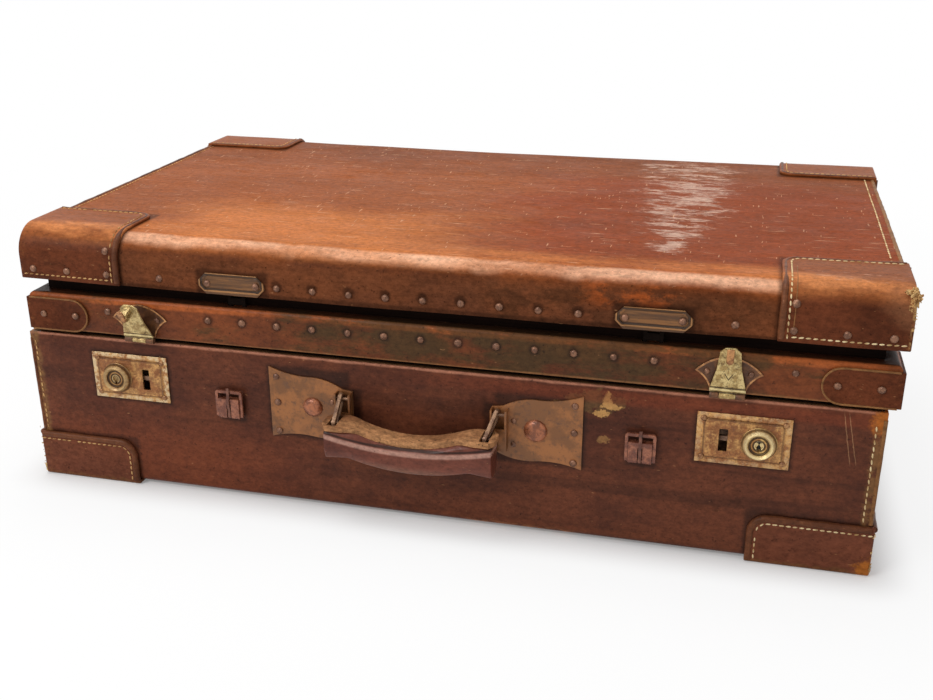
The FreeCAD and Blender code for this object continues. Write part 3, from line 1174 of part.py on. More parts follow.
# ---------------------------------------------------------------------------------------------
# Hasps: a winged plate on the frame and a tongue with a staple, folded up
# ---------------------------------------------------------------------------------------------
plates, hasp_pins = [], []
for side in SIDES:
    x = lock_column("place.slot_spread", side)
    ear_in = "(size.hasp_tab / 2 + size.knuckle_gap)"
    ear_out = f"({ear_in} + size.hasp_ear)"
    foot_z = "(place.hasp_z + size.hasp_knuckle)"
    wing_z = "(place.frame_low + size.hasp_wing_rise)"
    top_z = "(place.frame_low + size.hasp_plate_rise)"

    plate = new_body(f"hasp_plate_{side}")
    pad(plate, "XZ", "place.front - size.hasp_plate_sheet", "place.front", [
        (f"{x} - {ear_out}", foot_z),
        (f"{x} + {ear_out}", foot_z, "-size.hasp_waist_arc"),
        (f"{x} + size.hasp_wing", wing_z, "size.hasp_wing_arc"),
        (x, top_z, "size.hasp_wing_arc"),
        (f"{x} - size.hasp_wing", wing_z, "-size.hasp_waist_arc"),
    ])
    for sign in ("-1", "1"):
        near, far = f"{x} + {sign} * {ear_in}", f"{x} + {sign} * {ear_out}"
        low, high = (far, near) if sign == "-1" else (near, far)
        pad(plate, "YZ", low, high, [
            ("place.front", "place.hasp_z + size.hasp_pin"),
            ("place.front", foot_z),
            ("place.hasp_y", foot_z, "size.hasp_knuckle"),
            ("place.hasp_y - size.hasp_knuckle", "place.hasp_z", "size.hasp_knuckle"),
            ("place.hasp_y", "place.hasp_z - size.hasp_knuckle", "size.hasp_knuckle"),
            ("place.hasp_y + size.hasp_knuckle", "place.hasp_z"),
            ("place.hasp_y + size.hasp_knuckle", "place.hasp_z + size.hasp_pin"),
        ])
    pocket(plate, "YZ", f"{x} - {ear_out}", f"{x} + {ear_out}",
           circles=[("place.hasp_y", "place.hasp_z", "size.hasp_pin + size.pin_fit")])
    plates.append(plate)
    hasp_pins.append(rod("hasp_pin", "X", x, "place.hasp_y", "place.hasp_z", "size.hasp_pin",
                         f"2 * {ear_out}"))

    # tongue, made upright about its pin: the staple looks outwards while it is folded up
    tongue = new_body(f"hasp_{side}")
    foot_start = "(size.hasp_knuckle + size.seat_gap)"
    half_sheet = "(size.hasp_sheet / 2)"
    pad(tongue, "YZ", "-size.hasp_tab / 2", "size.hasp_tab / 2", circles=[("0", "0", "size.hasp_knuckle")])
    pad(tongue, "XZ", f"-{half_sheet}", half_sheet, [
        ("-size.hasp_tab / 2", "0"),
        ("size.hasp_tab / 2", "0"),
        ("size.hasp_tab / 2", foot_start),
        ("size.hasp_foot / 2", foot_start),
        ("size.hasp_foot / 2", f"{foot_start} + size.hasp_sheet * 2"),
        ("size.hasp_head / 2 + size.hasp_sheet", "size.hasp_length * 0.55"),
        ("size.hasp_head / 2", "size.hasp_length - size.hasp_head / 4"),
        ("size.hasp_head / 4", "size.hasp_length"),
        ("-size.hasp_head / 4", "size.hasp_length"),
        ("-size.hasp_head / 2", "size.hasp_length - size.hasp_head / 4"),
        ("-(size.hasp_head / 2 + size.hasp_sheet)", "size.hasp_length * 0.55"),
        ("-size.hasp_foot / 2", f"{foot_start} + size.hasp_sheet * 2"),
        ("-size.hasp_foot / 2", foot_start),
        ("-size.hasp_tab / 2", foot_start),
    ])
    staple_high = "(size.staple_start + size.staple_span)"
    reach = f"-({half_sheet} + size.staple_depth)"
    pad(tongue, "YZ", "-size.staple_width / 2", "size.staple_width / 2", [
        (reach, "size.staple_start"),
        (f"-{half_sheet}", "size.staple_start"),
        (f"-{half_sheet}", f"size.staple_start + size.staple_wire"),
        (f"{reach} + size.staple_wire", "size.staple_start + size.staple_wire"),
        (f"{reach} + size.staple_wire", f"{staple_high} - size.staple_wire"),
        (f"-{half_sheet}", f"{staple_high} - size.staple_wire"),
        (f"-{half_sheet}", staple_high),
        (reach, staple_high),
    ])
    pocket(tongue, "YZ", "-size.hasp_tab / 2", "size.hasp_tab / 2",
           circles=[("0", "0", "size.hasp_pin + size.pin_fit")])
    tongue.Placement.Rotation = FreeCAD.Rotation(AXES["X"], 1)
    tongue.setExpression("Placement.Rotation.Angle", "size.hasp_lean" if side == "left" else "0")
    publish(put(tongue, x, "place.hasp_y", "place.hasp_z"), f"hasp_{side}")
publish(group("hasp_plates", plates), "hasp_plates")
publish(group("hasp_pins", hasp_pins), "hasp_pins")

# ---------------------------------------------------------------------------------------------
# Butt hinges at the back
# ---------------------------------------------------------------------------------------------
HINGES = [f"place.mid_x + ({sign}) * size.hinge_spread" for sign in ("-1", "1")]
knuckle = "(size.hinge_width / 3)"
lower_leaves, upper_leaves, pins, frame_rivets = [], [], [], []
for x in HINGES:
    bore = rod("hinge_bore", "X", x, "place.hinge_y", "place.hinge_z", "size.hinge_pin + size.pin_fit",
               "size.hinge_width")
    for name, leaves, direction, stations in (("lower", lower_leaves, "-1", (-1, 1)),
                                              ("upper", upper_leaves, "1", (0,))):
        near = f"(place.hinge_z + {direction} * size.knuckle_radius)"
        far = f"(place.hinge_z + {direction} * (size.hinge_leaf + size.knuckle_radius))"
        low, high = (far, near) if direction == "-1" else (near, far)
        leaf = [block(f"leaf_{name}", (f"{x} - size.hinge_width / 2", f"{x} + size.hinge_width / 2"),
                      ("place.back", "place.back + size.hinge_sheet"), (low, high))]
        for station in stations:
            centre = f"{x} + ({station}) * {knuckle}"
            start, end = (f"{centre} - {knuckle} / 2 + size.knuckle_gap / 2",
                          f"{centre} + {knuckle} / 2 - size.knuckle_gap / 2")
            leaf.append(rod("knuckle", "X", centre, "place.hinge_y", "place.hinge_z",
                            "size.knuckle_radius", f"{knuckle} - size.knuckle_gap"))
            root = ("place.hinge_z", near) if direction == "1" else (near, "place.hinge_z")
            leaf.append(block("knuckle_root", (start, end),
                              ("place.back", "place.back + size.hinge_sheet"), root))
        leaves.append(cut(f"hinge_{name}", fuse("hinge_blank", leaf), bore))
    pins.append(rod("hinge_pin", "X", x, "place.hinge_y", "place.hinge_z", "size.hinge_pin",
                    "size.hinge_width"))
    for step in ("-1", "0", "1"):
        rivet_x = f"{x} + ({step}) * size.hinge_rivet_x"
        rivet_y = "place.back + size.hinge_sheet"
        base_rivets.append(rivet(small_head, "back", rivet_x, rivet_y, "place.hinge_z - size.hinge_rivet_z"))
        frame_rivets.append(rivet(small_head, "back", rivet_x, rivet_y, "place.hinge_z + size.hinge_rivet_z"))
publish(group("hinge_lower_leaves", lower_leaves), "hinge_lower_leaves")
publish(group("hinge_upper_leaves", upper_leaves), "hinge_upper_leaves")
publish(group("hinge_pins", pins), "hinge_pins")
publish(group("base_rivets", base_rivets), "base_rivets")

# ---------------------------------------------------------------------------------------------
# Lid shell
# ---------------------------------------------------------------------------------------------
shell_inner = hood("place.front + size.leather", "place.back - size.leather", "place.shell_low",
                   "place.shell_top - size.leather", "(size.shell_radius - size.leather)")
shell_outer = hood("place.front", "place.back", "place.shell_low", "place.shell_top", "size.shell_radius")

shell_board = new_body("shell_board")
pad(shell_board, "YZ", "place.lid_left + size.leather", "place.lid_right - size.leather", shell_inner)
pocket(shell_board, "YZ", "place.lid_left + place.wall", "place.lid_right - place.wall",
       hood("place.front + place.wall", "place.back - place.wall", "place.shell_low",
            "place.shell_ceiling", "(size.shell_radius - place.wall)"))
publish(shell_board, "shell_board")

shell_wrap = new_body("shell_wrap")
pad(shell_wrap, "YZ", "place.lid_left", "place.lid_right", shell_outer + inside(shell_inner))
publish(shell_wrap, "shell_wrap")

for side, low, high in (("left", "place.lid_left", "place.lid_left + size.leather"),
                        ("right", "place.lid_right - size.leather", "place.lid_right")):
    end = new_body(f"shell_end_{side}")
    pad(end, "YZ", low, high, shell_inner)
    publish(end, f"shell_end_{side}")

shell_lining = new_body("shell_lining")
pad(shell_lining, "XY", "place.shell_ceiling - size.lining", "place.shell_ceiling",
    footprint("place.wall", lid=True, inset_y="size.shell_radius"))
publish(shell_lining, "shell_lining")

# A lid cap covers the front, the rounded edge, part of the top and part of the end.
lid_cap = new_body("lid_cap")
cap_back = "(place.front + size.lid_cap_reach)"
cap_start = "place.lid_right - size.lid_cap_length"
cap_outer = [
    (cap_back, "place.shell_top + size.cap_leather"),
    ("place.front + size.shell_radius", "place.shell_top + size.cap_leather",
     "(size.shell_radius + size.cap_leather)"),
    ("place.front - size.cap_leather", "place.shell_top - size.shell_radius"),
    ("place.front - size.cap_leather", "place.shell_low"),
]
cap_inner = [
    ("place.front", "place.shell_low"),
    ("place.front", "place.shell_top - size.shell_radius", "-size.shell_radius"),
    ("place.front + size.shell_radius", "place.shell_top"),
    (cap_back, "place.shell_top"),
]
pad(lid_cap, "YZ", cap_start, "place.lid_right + size.cap_leather", cap_outer + cap_inner)
pad(lid_cap, "YZ", "place.lid_right", "place.lid_right + size.cap_leather",
    cap_outer + [(cap_back, "place.shell_low")])
top_corner = {"x": number(cap_start), "y": number(cap_back)}
end_corner = {"y": number(cap_back), "z": number("place.shell_low")}
fillet(lid_cap, "size.lid_cap_radius", ("Z", top_corner), ("X", end_corner))
lid_caps = [lid_cap, mirrored(lid_cap, "X", lid_mid)]
publish(group("lid_caps_front", lid_caps), "lid_caps_front")
publish(group("lid_caps_back", [mirrored(c, "Y", "place.mid_y") for c in lid_caps]), "lid_caps_back")

# ---------------------------------------------------------------------------------------------
# Expander: anchor plates, racks, catch housings and catch bolts at four stations
# ---------------------------------------------------------------------------------------------
def anchor_outline(x, inset):
    """Long plate with clipped corners."""
    half_x = f"(place.anchor_half - {inset})"
    half_z = f"(size.anchor_height / 2 - {inset})"
    outline = []
    for sign_x, sign_z in (("-1", "-1"), ("1", "-1"), ("1", "1"), ("-1", "1")):
        clipped = [
            (f"{x} + ({sign_x}) * {half_x}", f"place.anchor_z + ({sign_z}) * ({half_z} - size.anchor_clip)"),
            (f"{x} + ({sign_x}) * ({half_x} - size.anchor_clip)", f"place.anchor_z + ({sign_z}) * {half_z}"),
        ]
        outline += clipped if sign_x == sign_z else clipped[::-1]
    return outline


anchors, racks, housings = [], [], []
for number_x, x in enumerate(EXPANDERS):
    station = ("left", "right")[number_x]
    anchor = new_body(f"anchor_{station}")
    pad(anchor, "XZ", "place.front - size.anchor_sheet", "place.front", anchor_outline(x, "0"))
    pocket(anchor, "XZ", "place.front - size.anchor_sheet", "place.front - size.anchor_sheet / 2",
           anchor_outline(x, "size.anchor_rim"))
    anchors += [anchor, mirrored(anchor, "Y", "place.mid_y")]

    rack = new_body(f"rack_{station}")
    low_y, high_y = in_from("front", "place.wall", "place.rack_out")
    pad(rack, "XZ", low_y, high_y,
        centred(x, "place.anchor_z", "size.anchor_length", "size.rack_head"))
    pad(rack, "XZ", low_y, high_y,
        rectangle(f"{x} - size.rack_width / 2", "place.rack_low", f"{x} + size.rack_width / 2",
                  "place.anchor_z"))
    for notch in ("-size.steps_up", "1 - size.steps_up", "0", "1"):
        pocket(rack, "XZ", low_y, high_y,
               catch_hole(x, f"place.catch_z + ({notch}) * size.notch_pitch"))
    racks += [rack, mirrored(rack, "Y", "place.mid_y")]

    housing = new_body(f"catch_housing_{station}")
    low_y, high_y = in_from("front", "place.wall_inner", "place.catch_back")
    pad(housing, "XZ", low_y, high_y,
        centred(x, "place.catch_z", "size.catch_width", "size.catch_height"))
    pocket(housing, "XZ", low_y, high_y, catch_hole(x, "place.catch_z"))
    housings += [housing, mirrored(housing, "Y", "place.mid_y")]

    bolt = new_body(f"catch_bolt_front_{station}")
    knob_start = "(place.catch_back + size.catch_stroke + size.seat_gap)"
    pad(bolt, "XZ", "place.front + place.rack_out + size.catch_gap", f"place.front + {knob_start}",
        centred(x, "place.catch_z", "size.catch_bolt_width", "size.catch_bolt_height"))
    pad(bolt, "XZ", f"place.front + {knob_start}", f"place.front + {knob_start} + size.catch_knob_length",
        centred(x, "place.catch_z", "size.catch_knob", "size.catch_knob"))
    publish(bolt, f"catch_bolt_front_{station}")
    publish(mirrored(bolt, "Y", "place.mid_y"), f"catch_bolt_back_{station}")
publish(group("anchor_plates", anchors), "anchor_plates")
publish(group("racks", racks), "racks")
publish(group("catch_housings", housings), "catch_housings")

# ---------------------------------------------------------------------------------------------
# Rows of dome rivets
# ---------------------------------------------------------------------------------------------
def row(face, positions, z, surface="0"):
    """Rivets along the front or the back, standing on a layer of the given thickness."""
    y = f"place.front - {surface}" if face == "front" else f"place.back + {surface}"
    return [rivet(dome_head, face, x, y, z) for x in positions]


def column(end, positions, z, surface="0"):
    """Rivets along an end of the lid."""
    x = f"place.lid_left - {surface}" if end == "left" else f"place.lid_right + {surface}"
    return [rivet(dome_head, end, x, y, z) for y in positions]


def pitches(reach, middle, pitch):
    """Places at equal steps, as many to either side of the middle as the reach says."""
    return [f"{middle} + ({i}) * {pitch}" for i in range(-reach, reach + 1)]


frame_row_z = "(place.frame_low + size.frame_row_rise)"
patch_spots = ("size.patch_rivet_first", "size.patch_length - size.patch_rivet_edge")
frame_row = pitches(6, "place.mid_x", "place.frame_pitch")
frame_row += ["place.lid_left + size.frame_row_end", "place.lid_right - size.frame_row_end"]
hasp_rivet_z = "(place.frame_low + size.hasp_wing_rise)"
hinge_half = number("size.hinge_width / 2 + size.rivet_radius")
for face in FACES:
    clear = [x for x in frame_row if face == "front"
             or all(abs(number(f"{x} - ({hinge})")) > hinge_half for hinge in HINGES)]
    frame_rivets += row(face, clear, frame_row_z)
    for spot in patch_spots:
        frame_rivets += row(face, [f"place.lid_left + {spot}", f"place.lid_right - ({spot})"],
                            patch_mid, "size.patch_leather")
for end in SIDES:
    frame_rivets += column(end, pitches(4, "place.mid_y", "size.rivet_pitch"), frame_row_z)
    for spot in patch_spots:
        frame_rivets += column(end, [f"place.front + {spot}", f"place.back - ({spot})"],
                               patch_mid, "size.patch_leather")
for side in SIDES:
    for sign in ("-1", "1"):
        x = f"{lock_column('place.slot_spread', side)} + {sign} * size.hasp_rivet_x"
        frame_rivets.append(rivet(small_head, "front", x, "place.front - size.hasp_plate_sheet",
                                  hasp_rivet_z))
publish(group("frame_rivets", frame_rivets), "frame_rivets")

shell_rivets = []
shell_row = pitches(4, "place.expander_mid - size.shell_row_shift", "place.shell_pitch")
shell_row += [f"(place.lid_left + size.lid_cap_length + {EXPANDERS[0]} - place.anchor_half) / 2",
              f"(place.lid_right - size.lid_cap_length + {EXPANDERS[1]} + place.anchor_half) / 2"]
cap_spots = ("size.cap_rivet_first", "size.cap_rivet_second", "size.lid_cap_length - size.cap_rivet_edge")
for face in FACES:
    shell_rivets += row(face, shell_row, "place.anchor_z")
    for x in EXPANDERS:
        for sign in ("-1", "1"):
            shell_rivets += row(face, [f"{x} + {sign} * size.anchor_span / 2"], "place.anchor_z",
                                "size.anchor_sheet / 2")
    for spot in cap_spots:
        shell_rivets += row(face, [f"place.lid_left + {spot}", f"place.lid_right - ({spot})"],
                            "place.anchor_z", "size.cap_leather")
for end in SIDES:
    shell_rivets += column(end, pitches(3, "place.mid_y", "size.rivet_pitch"), "place.anchor_z")
publish(group("shell_rivets", shell_rivets), "shell_rivets")

# ---------------------------------------------------------------------------------------------
# Check and write
# ---------------------------------------------------------------------------------------------
doc.recompute()
failed = [o.Name for o in doc.Objects if {"Invalid", "Error"} & set(o.State)]
if failed:
    raise RuntimeError(f"failed objects: {failed}")
for feature in doc.findObjects("PartDesign::Pocket"):
    if feature.Shape.Volume >= feature.BaseFeature.Shape.Volume - NEAR:
        raise RuntimeError(f"{feature.Name} cuts nothing")
for piece in pieces:
    if piece.Shape.isNull() or not piece.Shape.isValid() or not piece.Shape.Solids:
        raise RuntimeError(f"{piece.Label} has no valid solid")

os.makedirs("parts", exist_ok=True)
for piece in pieces:
    piece.Shape.exportStep(os.path.join("parts", f"{piece.Label}.step"))
print(f"{len(pieces)} nodes, {sum(len(piece.Shape.Solids) for piece in pieces)} solids")
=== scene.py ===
"""Looks of an old expanding leather suitcase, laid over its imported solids.

Metres, in the solids' own frame: +X along the case, the front faces -Y, +Z up.  Leather covers and
metalwork are worked up from copies of their solids.  Stitches, rolled welts, rivet heads and torn
edges are added here.
"""
import json
import math
import random

import bmesh
import bpy
from mathutils import Euler, Matrix, Vector, noise

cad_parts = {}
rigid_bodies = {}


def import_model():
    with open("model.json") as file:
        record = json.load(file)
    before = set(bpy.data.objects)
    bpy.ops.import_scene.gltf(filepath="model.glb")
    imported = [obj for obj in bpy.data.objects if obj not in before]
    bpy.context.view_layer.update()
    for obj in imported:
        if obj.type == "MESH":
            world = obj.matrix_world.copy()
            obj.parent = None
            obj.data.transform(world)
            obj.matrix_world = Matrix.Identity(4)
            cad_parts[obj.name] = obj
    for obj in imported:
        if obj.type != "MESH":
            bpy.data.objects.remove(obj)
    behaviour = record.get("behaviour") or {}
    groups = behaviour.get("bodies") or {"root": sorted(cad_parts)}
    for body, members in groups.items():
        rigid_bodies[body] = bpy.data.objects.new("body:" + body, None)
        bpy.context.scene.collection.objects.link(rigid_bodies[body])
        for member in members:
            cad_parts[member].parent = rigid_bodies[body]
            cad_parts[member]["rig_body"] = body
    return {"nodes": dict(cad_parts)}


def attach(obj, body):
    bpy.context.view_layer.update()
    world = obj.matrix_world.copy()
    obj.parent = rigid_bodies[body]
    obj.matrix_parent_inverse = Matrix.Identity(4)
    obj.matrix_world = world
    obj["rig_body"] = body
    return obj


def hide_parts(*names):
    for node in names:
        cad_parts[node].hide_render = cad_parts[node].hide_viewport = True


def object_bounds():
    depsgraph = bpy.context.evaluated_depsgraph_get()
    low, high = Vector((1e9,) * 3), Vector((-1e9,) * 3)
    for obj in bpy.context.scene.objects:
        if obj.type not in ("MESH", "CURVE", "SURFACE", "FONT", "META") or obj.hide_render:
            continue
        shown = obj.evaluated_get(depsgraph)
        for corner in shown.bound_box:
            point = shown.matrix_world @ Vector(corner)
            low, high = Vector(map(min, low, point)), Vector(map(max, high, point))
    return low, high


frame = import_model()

CAD_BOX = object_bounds()
MM = 0.001

# The case's faces in millimetres; the lid has slipped a little to the right of the base.
LEFT, RIGHT, FRONT, BACK = -327.5, 322.5, -181.789, 208.211
LID_LEFT, LID_RIGHT = -322.5, 327.5
MIDDLE = Vector((-2.5, 13.211, 100.0))
CAP = 2.4
LID_CAP, BASE_CAP = 82.0, 84.0
LID_CAP_BACK = 62.0
LID_LOW, LID_TOP, LID_ROUND = 171.5, 210.0, 20.0
LID_MIDDLE = (LID_LEFT + LID_RIGHT) / 2
BAND_LOW, BASE_CAP_TOP = 130.0, 39.0
WALL, SHEET = 6.4, 1.0
RIVET_PITCH = 28.0
LID_RIVETS_X, LID_RIVETS_Z = -0.5, 180.0
BAND_RIVETS_X, BAND_RIVETS_Z = -2.5, 148.6
HASP_RIGHT, HASP_PIN_Y, HASP_PIN_Z = 216.5, -185.389, 129.0
LOCKS_MIDDLE, LOCK_OFF, KNOB_OFF, LOCK_Z, KNOB_Z = -5.5, 235.5, 246.5, 95.0, 94.25
ANCHORS_MIDDLE, ANCHOR_OFF = 7.5, 156.0
GRIP_MIDDLE, GRIP_HALF = -6.0, 62.0
WELT, SEAM = 2.3, 6.2
LID_OVER = LID_TOP - LID_ROUND + (LID_ROUND + CAP) * math.pi / 2 + (LID_CAP_BACK - LID_ROUND)


# ---------------------------------------------------------------------------------------------
# Finishes: node trees written as sums
# ---------------------------------------------------------------------------------------------
class Reading:
    """A socket in a finish, usable in sums with numbers and with other readings."""

    def __init__(self, finish, socket):
        self.finish = finish
        self.socket = socket

    def math(self, operation, *values, clamp=False):
        settings = {"operation": operation, "use_clamp": clamp}
        return self.finish.node("Math", settings, dict(enumerate(values)))

    def __add__(self, other):
        return self.math("ADD", self, other)

    def __sub__(self, other):
        return self.math("SUBTRACT", self, other)

    def __rsub__(self, other):
        return self.math("SUBTRACT", other, self)

    def __mul__(self, other):
        return self.math("MULTIPLY", self, other)

    def __pow__(self, other):
        return self.math("POWER", self, other)

    def __mod__(self, other):
        return self.math("FLOORED_MODULO", self, other)

    def __abs__(self):
        return self.math("ABSOLUTE", self)

    def upper(self, other):
        return self.math("MAXIMUM", self, other)

    def sine(self):
        return self.math("SINE", self)

    def held(self):
        return self.math("ADD", self, 0.0, clamp=True)

    __radd__ = __add__
    __rmul__ = __mul__


class Finish:
    """A material being made: its shader, and the place on the object in millimetres."""

    def __init__(self, name):
        self.material = bpy.data.materials.new(name)
        self.material.use_nodes = True
        self.tree = self.material.node_tree
        self.shader = self.tree.nodes["Principled BSDF"]
        place = self.node("TexCoord", output="Object")
        self.place = self.node("VectorMath", {"operation": "SCALE"}, {0: place, "Scale": 1000.0})
        self.x = self.node("SeparateXYZ", {}, {0: self.place}, 0)
        self.y = self.node("SeparateXYZ", {}, {0: self.place}, 1)
        self.z = self.node("SeparateXYZ", {}, {0: self.place}, 2)

    def node(self, kind, settings=None, feeds=None, output=0):
        """Any node: its settings first, then the values and links of its sockets."""
        made = self.tree.nodes.new("ShaderNode" + kind)
        for name, value in (settings or {}).items():
            setattr(made, name, value)
        for name, value in (feeds or {}).items():
            if isinstance(value, Reading):
                self.tree.links.new(value.socket, made.inputs[name])
            else:
                made.inputs[name].default_value = value
        return Reading(self, made.outputs[output])

    def mottle(self, size, detail=3.0, roughness=0.55, along=(1, 1, 1), shift=0):
        """Soft noise whose blotches are about `size` mm; `along` under 1 draws them out."""
        where = self.node("Mapping", {}, {
            "Vector": self.place, "Location": (37.0 * shift, 71.0 * shift, 53.0 * shift), "Scale": along})
        return self.node("TexNoise", {}, {
            "Vector": where, "Scale": 1.0 / size, "Detail": detail, "Roughness": roughness})

    def cells(self, size, along=(1, 1, 1), shift=0):
        where = self.node("Mapping", {}, {
            "Vector": self.place, "Location": (19.0 * shift, 43.0 * shift, 11.0 * shift), "Scale": along})
        return self.node("TexVoronoi", {}, {"Vector": where, "Scale": 1.0 / size})

    def fade(self, value, start, stop):
        """0 before start, 1 after stop, smooth between; start may be the larger."""
        return self.node("MapRange", {"interpolation_type": "SMOOTHSTEP"},
                         {"Value": value, "From Min": start, "From Max": stop})

    def near(self, coordinate, middle, half, soft):
        """1 within `half` of the middle, fading out over `soft`."""
        return self.fade(abs(coordinate - middle), half + soft, half)

    def tint(self, first, second, amount):
        return self.node("Mix", {"data_type": "RGBA"}, {0: amount, 6: first, 7: second}, 2)

    def shade(self, colour, factor):
        """The same colour, lighter or darker."""
        return self.node("VectorMath", {"operation": "SCALE"}, {0: colour, "Scale": factor})

    def bump(self, height, depth, under=None):
        """Relief of `depth` mm, over the relief below it."""
        feeds = {"Height": height, "Distance": depth * MM, "Strength": 1.0}
        if under is not None:
            feeds["Normal"] = under
        return self.node("Bump", {}, feeds)

    def close(self, **sockets):
        """Feeds the shader: readings are linked and numbers set."""
        for name, value in sockets.items():
            socket = self.shader.inputs[name.replace("_", " ")]
            if isinstance(value, Reading):
                self.tree.links.new(value.socket, socket)
            else:
                socket.default_value = value
        return self.material


def rgb(red, green, blue):
    """A colour from 0..255 display values, as the shader counts it."""
    return tuple((c / 255.0 / 12.92 if c < 10.4 else ((c / 255.0 + 0.055) / 1.055) ** 2.4)
                 for c in (red, green, blue)) + (1.0,)


def distance(*parts):
    """The length of a line whose run along each way is given."""
    total = 0.0
    for part in parts:
        total = part * part + total
    return total ** 0.5


# What gathers dirt and casts painted shade on the base's front: middle x and z, half width and half height.
FITTINGS = (
    (LOCKS_MIDDLE - LOCK_OFF, LOCK_Z, 32.0, 19.0), (LOCKS_MIDDLE + LOCK_OFF, LOCK_Z, 32.0, 19.0),
    (-156.5, 78.0, 9.0, 9.5), (160.0, 78.0, 9.0, 9.5),
    (-92.0, 87.5, 31.0, 27.0), (87.0, 87.5, 31.0, 27.0),
    (-58.0, 86.0, 6.0, 16.0), (53.0, 86.0, 6.0, 16.0),
    (LEFT, 0.0, BASE_CAP, BASE_CAP_TOP), (RIGHT, 0.0, BASE_CAP, BASE_CAP_TOP),
)
# Spots where the base's hide is torn: middle x and z, width, height and strength.
TORN_SPOTS = (
    (134.5, 114.0, 3.6, 6.5, 1.0), (131.0, 105.0, 5.6, 3.4, 1.0),
    (137.5, 110.0, 7.5, 2.4, 1.0), (133.0, 84.0, 4.5, 3.2, 0.4),
)
# The second colour here is the dark brown of painted shade: in gaps, along the lid's lower edge, and round
# fittings and rivets, where it is mixed with dirt.
GRIME, PAINTED_SHADE_BROWN, PALE_NICK = rgb(44, 26, 14), rgb(30, 17, 11), rgb(186, 132, 88)


def hide_grain(f, size=1.3, depth=0.12, under=None):
    """Fine pebble of a smooth hide, with shallow creases along the case."""
    pebble = f.cells(size, along=(0.8, 1.1, 1.1), shift=3)
    fine = f.mottle(0.8, 3.0, 0.6, shift=7)
    crease = f.mottle(9.0, 4.0, 0.7, along=(0.16, 1, 1), shift=5)
    height = pebble * 0.5 + fine * 0.45 + crease * 0.9
    return f.bump(height, depth, under)


def hide(name, dark, warm, worn, marks=None, sheen=0.46, grain=1.0, fleck=0.5, streak=0.35, shine=0.14):
    """Waxed hide: clouds of dark and warm brown, stains, rubbed spots, dark pores and pale nicks."""
    f = Finish(name)
    clouds = f.mottle(120.0, 3.0, 0.5, along=(0.7, 1, 1), shift=1)
    patches = f.mottle(24.0, 5.0, 0.62, along=(0.6, 1, 1), shift=2)
    colour = f.tint(dark, warm, f.fade(clouds * 0.5 + patches * 0.5, 0.40, 0.60))
    wear = f.fade(f.mottle(7.0, 6.0, 0.75, along=(0.6, 1, 1), shift=15), 0.58, 0.74)
    colour = f.tint(colour, worn, wear * 0.35)
    stains = f.fade(f.mottle(15.0, 6.0, 0.7, along=(0.5, 1, 1), shift=9), 0.57, 0.70)
    colour = f.tint(colour, GRIME, stains * 0.35)
    roughness = sheen + (patches - 0.5) * 0.35 + stains * 0.14
    if marks is not None:
        colour, roughness = marks(f, colour, roughness)
    fine = f.mottle(3.2, 5.0, 0.75, along=(0.7, 1, 1), shift=17)
    streaks = f.mottle(4.0, 5.0, 0.75, along=(0.07, 1, 1), shift=4)
    pores = f.fade(f.mottle(2.0, 2.0, 0.5, shift=23), 0.66, 0.74)
    rough_tone = (fine - 0.5) * (1.7 * grain) + (streaks - 0.5) * streak
    colour = f.shade(colour, rough_tone + 1.0 - pores * fleck)
    nicks = f.fade(f.mottle(1.7, 2.0, 0.5, along=(0.3, 1, 1), shift=21), 0.72, 0.78)
    colour = f.tint(colour, PALE_NICK, nicks * 0.5)
    swell = f.bump(f.mottle(22.0, 2.0, 0.5, shift=30), 0.9)
    return f.close(Base_Color=colour, Roughness=roughness.held(), Specular_IOR_Level=shine,
                   Normal=hide_grain(f, under=swell))


def scratches(f, colour, along, size, shift, pale, amount):
    """Thin pale lines drawn out one way."""
    line = f.fade(f.mottle(size, 1.0, 0.4, along=along, shift=shift), 0.73, 0.755)
    return f.tint(colour, pale, line * amount)


def rivet_dirt_and_shade(f, first, level, middle, reach):
    """Dirt and painted shade round a long row of rivets on the front and the back."""
    across = (f.x - (first - RIVET_PITCH * 0.5)) % RIVET_PITCH - RIVET_PITCH * 0.5
    ragged = (f.mottle(3.0, 3.0, 0.6, shift=33) - 0.5) * 3.0
    ring = f.fade(distance(across, f.z - level) + ragged, 5.8, 2.8)
    return ring * f.near(f.x, middle, reach, 2.0) * f.fade(abs(f.y - MIDDLE.y), 180.0, 190.0)


def fitting_dirt_and_shade(f, x, z, half_x, half_z, ragged):
    """Dirt and painted shade on the hide just outside a fitting; x is its middle."""
    beyond = distance((abs(f.x - x) - half_x).upper(0.0), (abs(f.z - z) - half_z).upper(0.0))
    return f.fade(beyond + (ragged - 0.5) * 5.0, 4.5, 0.3)


def ragged_spot(f, x, z, width, height, tear):
    """A torn spot on the front: 1 inside, with an edge as rough as the tear."""
    span = distance((f.x - x) * (1.0 / width), (f.z - z) * (1.0 / height))
    return f.fade(span + (tear - 0.5) * 3.2, 1.0, 0.75) * f.fade(f.y, -165.0, -175.0)


def lid_top_marks(f, colour, top):
    """The lid's top: sunned to orange on the left, redder on the right, duller behind, scratched."""
    drift = f.mottle(80.0, 5.0, 0.6, along=(0.5, 1, 1), shift=41)
    x, y = f.x + (drift - 0.5) * 200.0, f.y + (drift - 0.5) * 110.0
    breath = f.mottle(36.0, 5.0, 0.6, along=(0.3, 1, 1), shift=42)
    colour = f.tint(colour, rgb(148, 82, 45), top * 0.88)
    sun = f.near(x, -125.0, 45.0, 110.0) * f.near(y, -118.0, 22.0, 60.0)
    colour = f.tint(colour, rgb(188, 112, 60), top * sun * 0.85)
    red = f.fade(x, -20.0, 90.0) * f.fade(y, 170.0, 60.0)
    colour = f.tint(colour, rgb(126, 50, 18), top * red * 0.66)
    far = f.fade(y, 60.0, 200.0)
    colour = f.tint(colour, rgb(108, 58, 33), top * far * 0.7)
    return f.shade(colour, 1.0 + (breath - 0.5) * 0.7 * top)


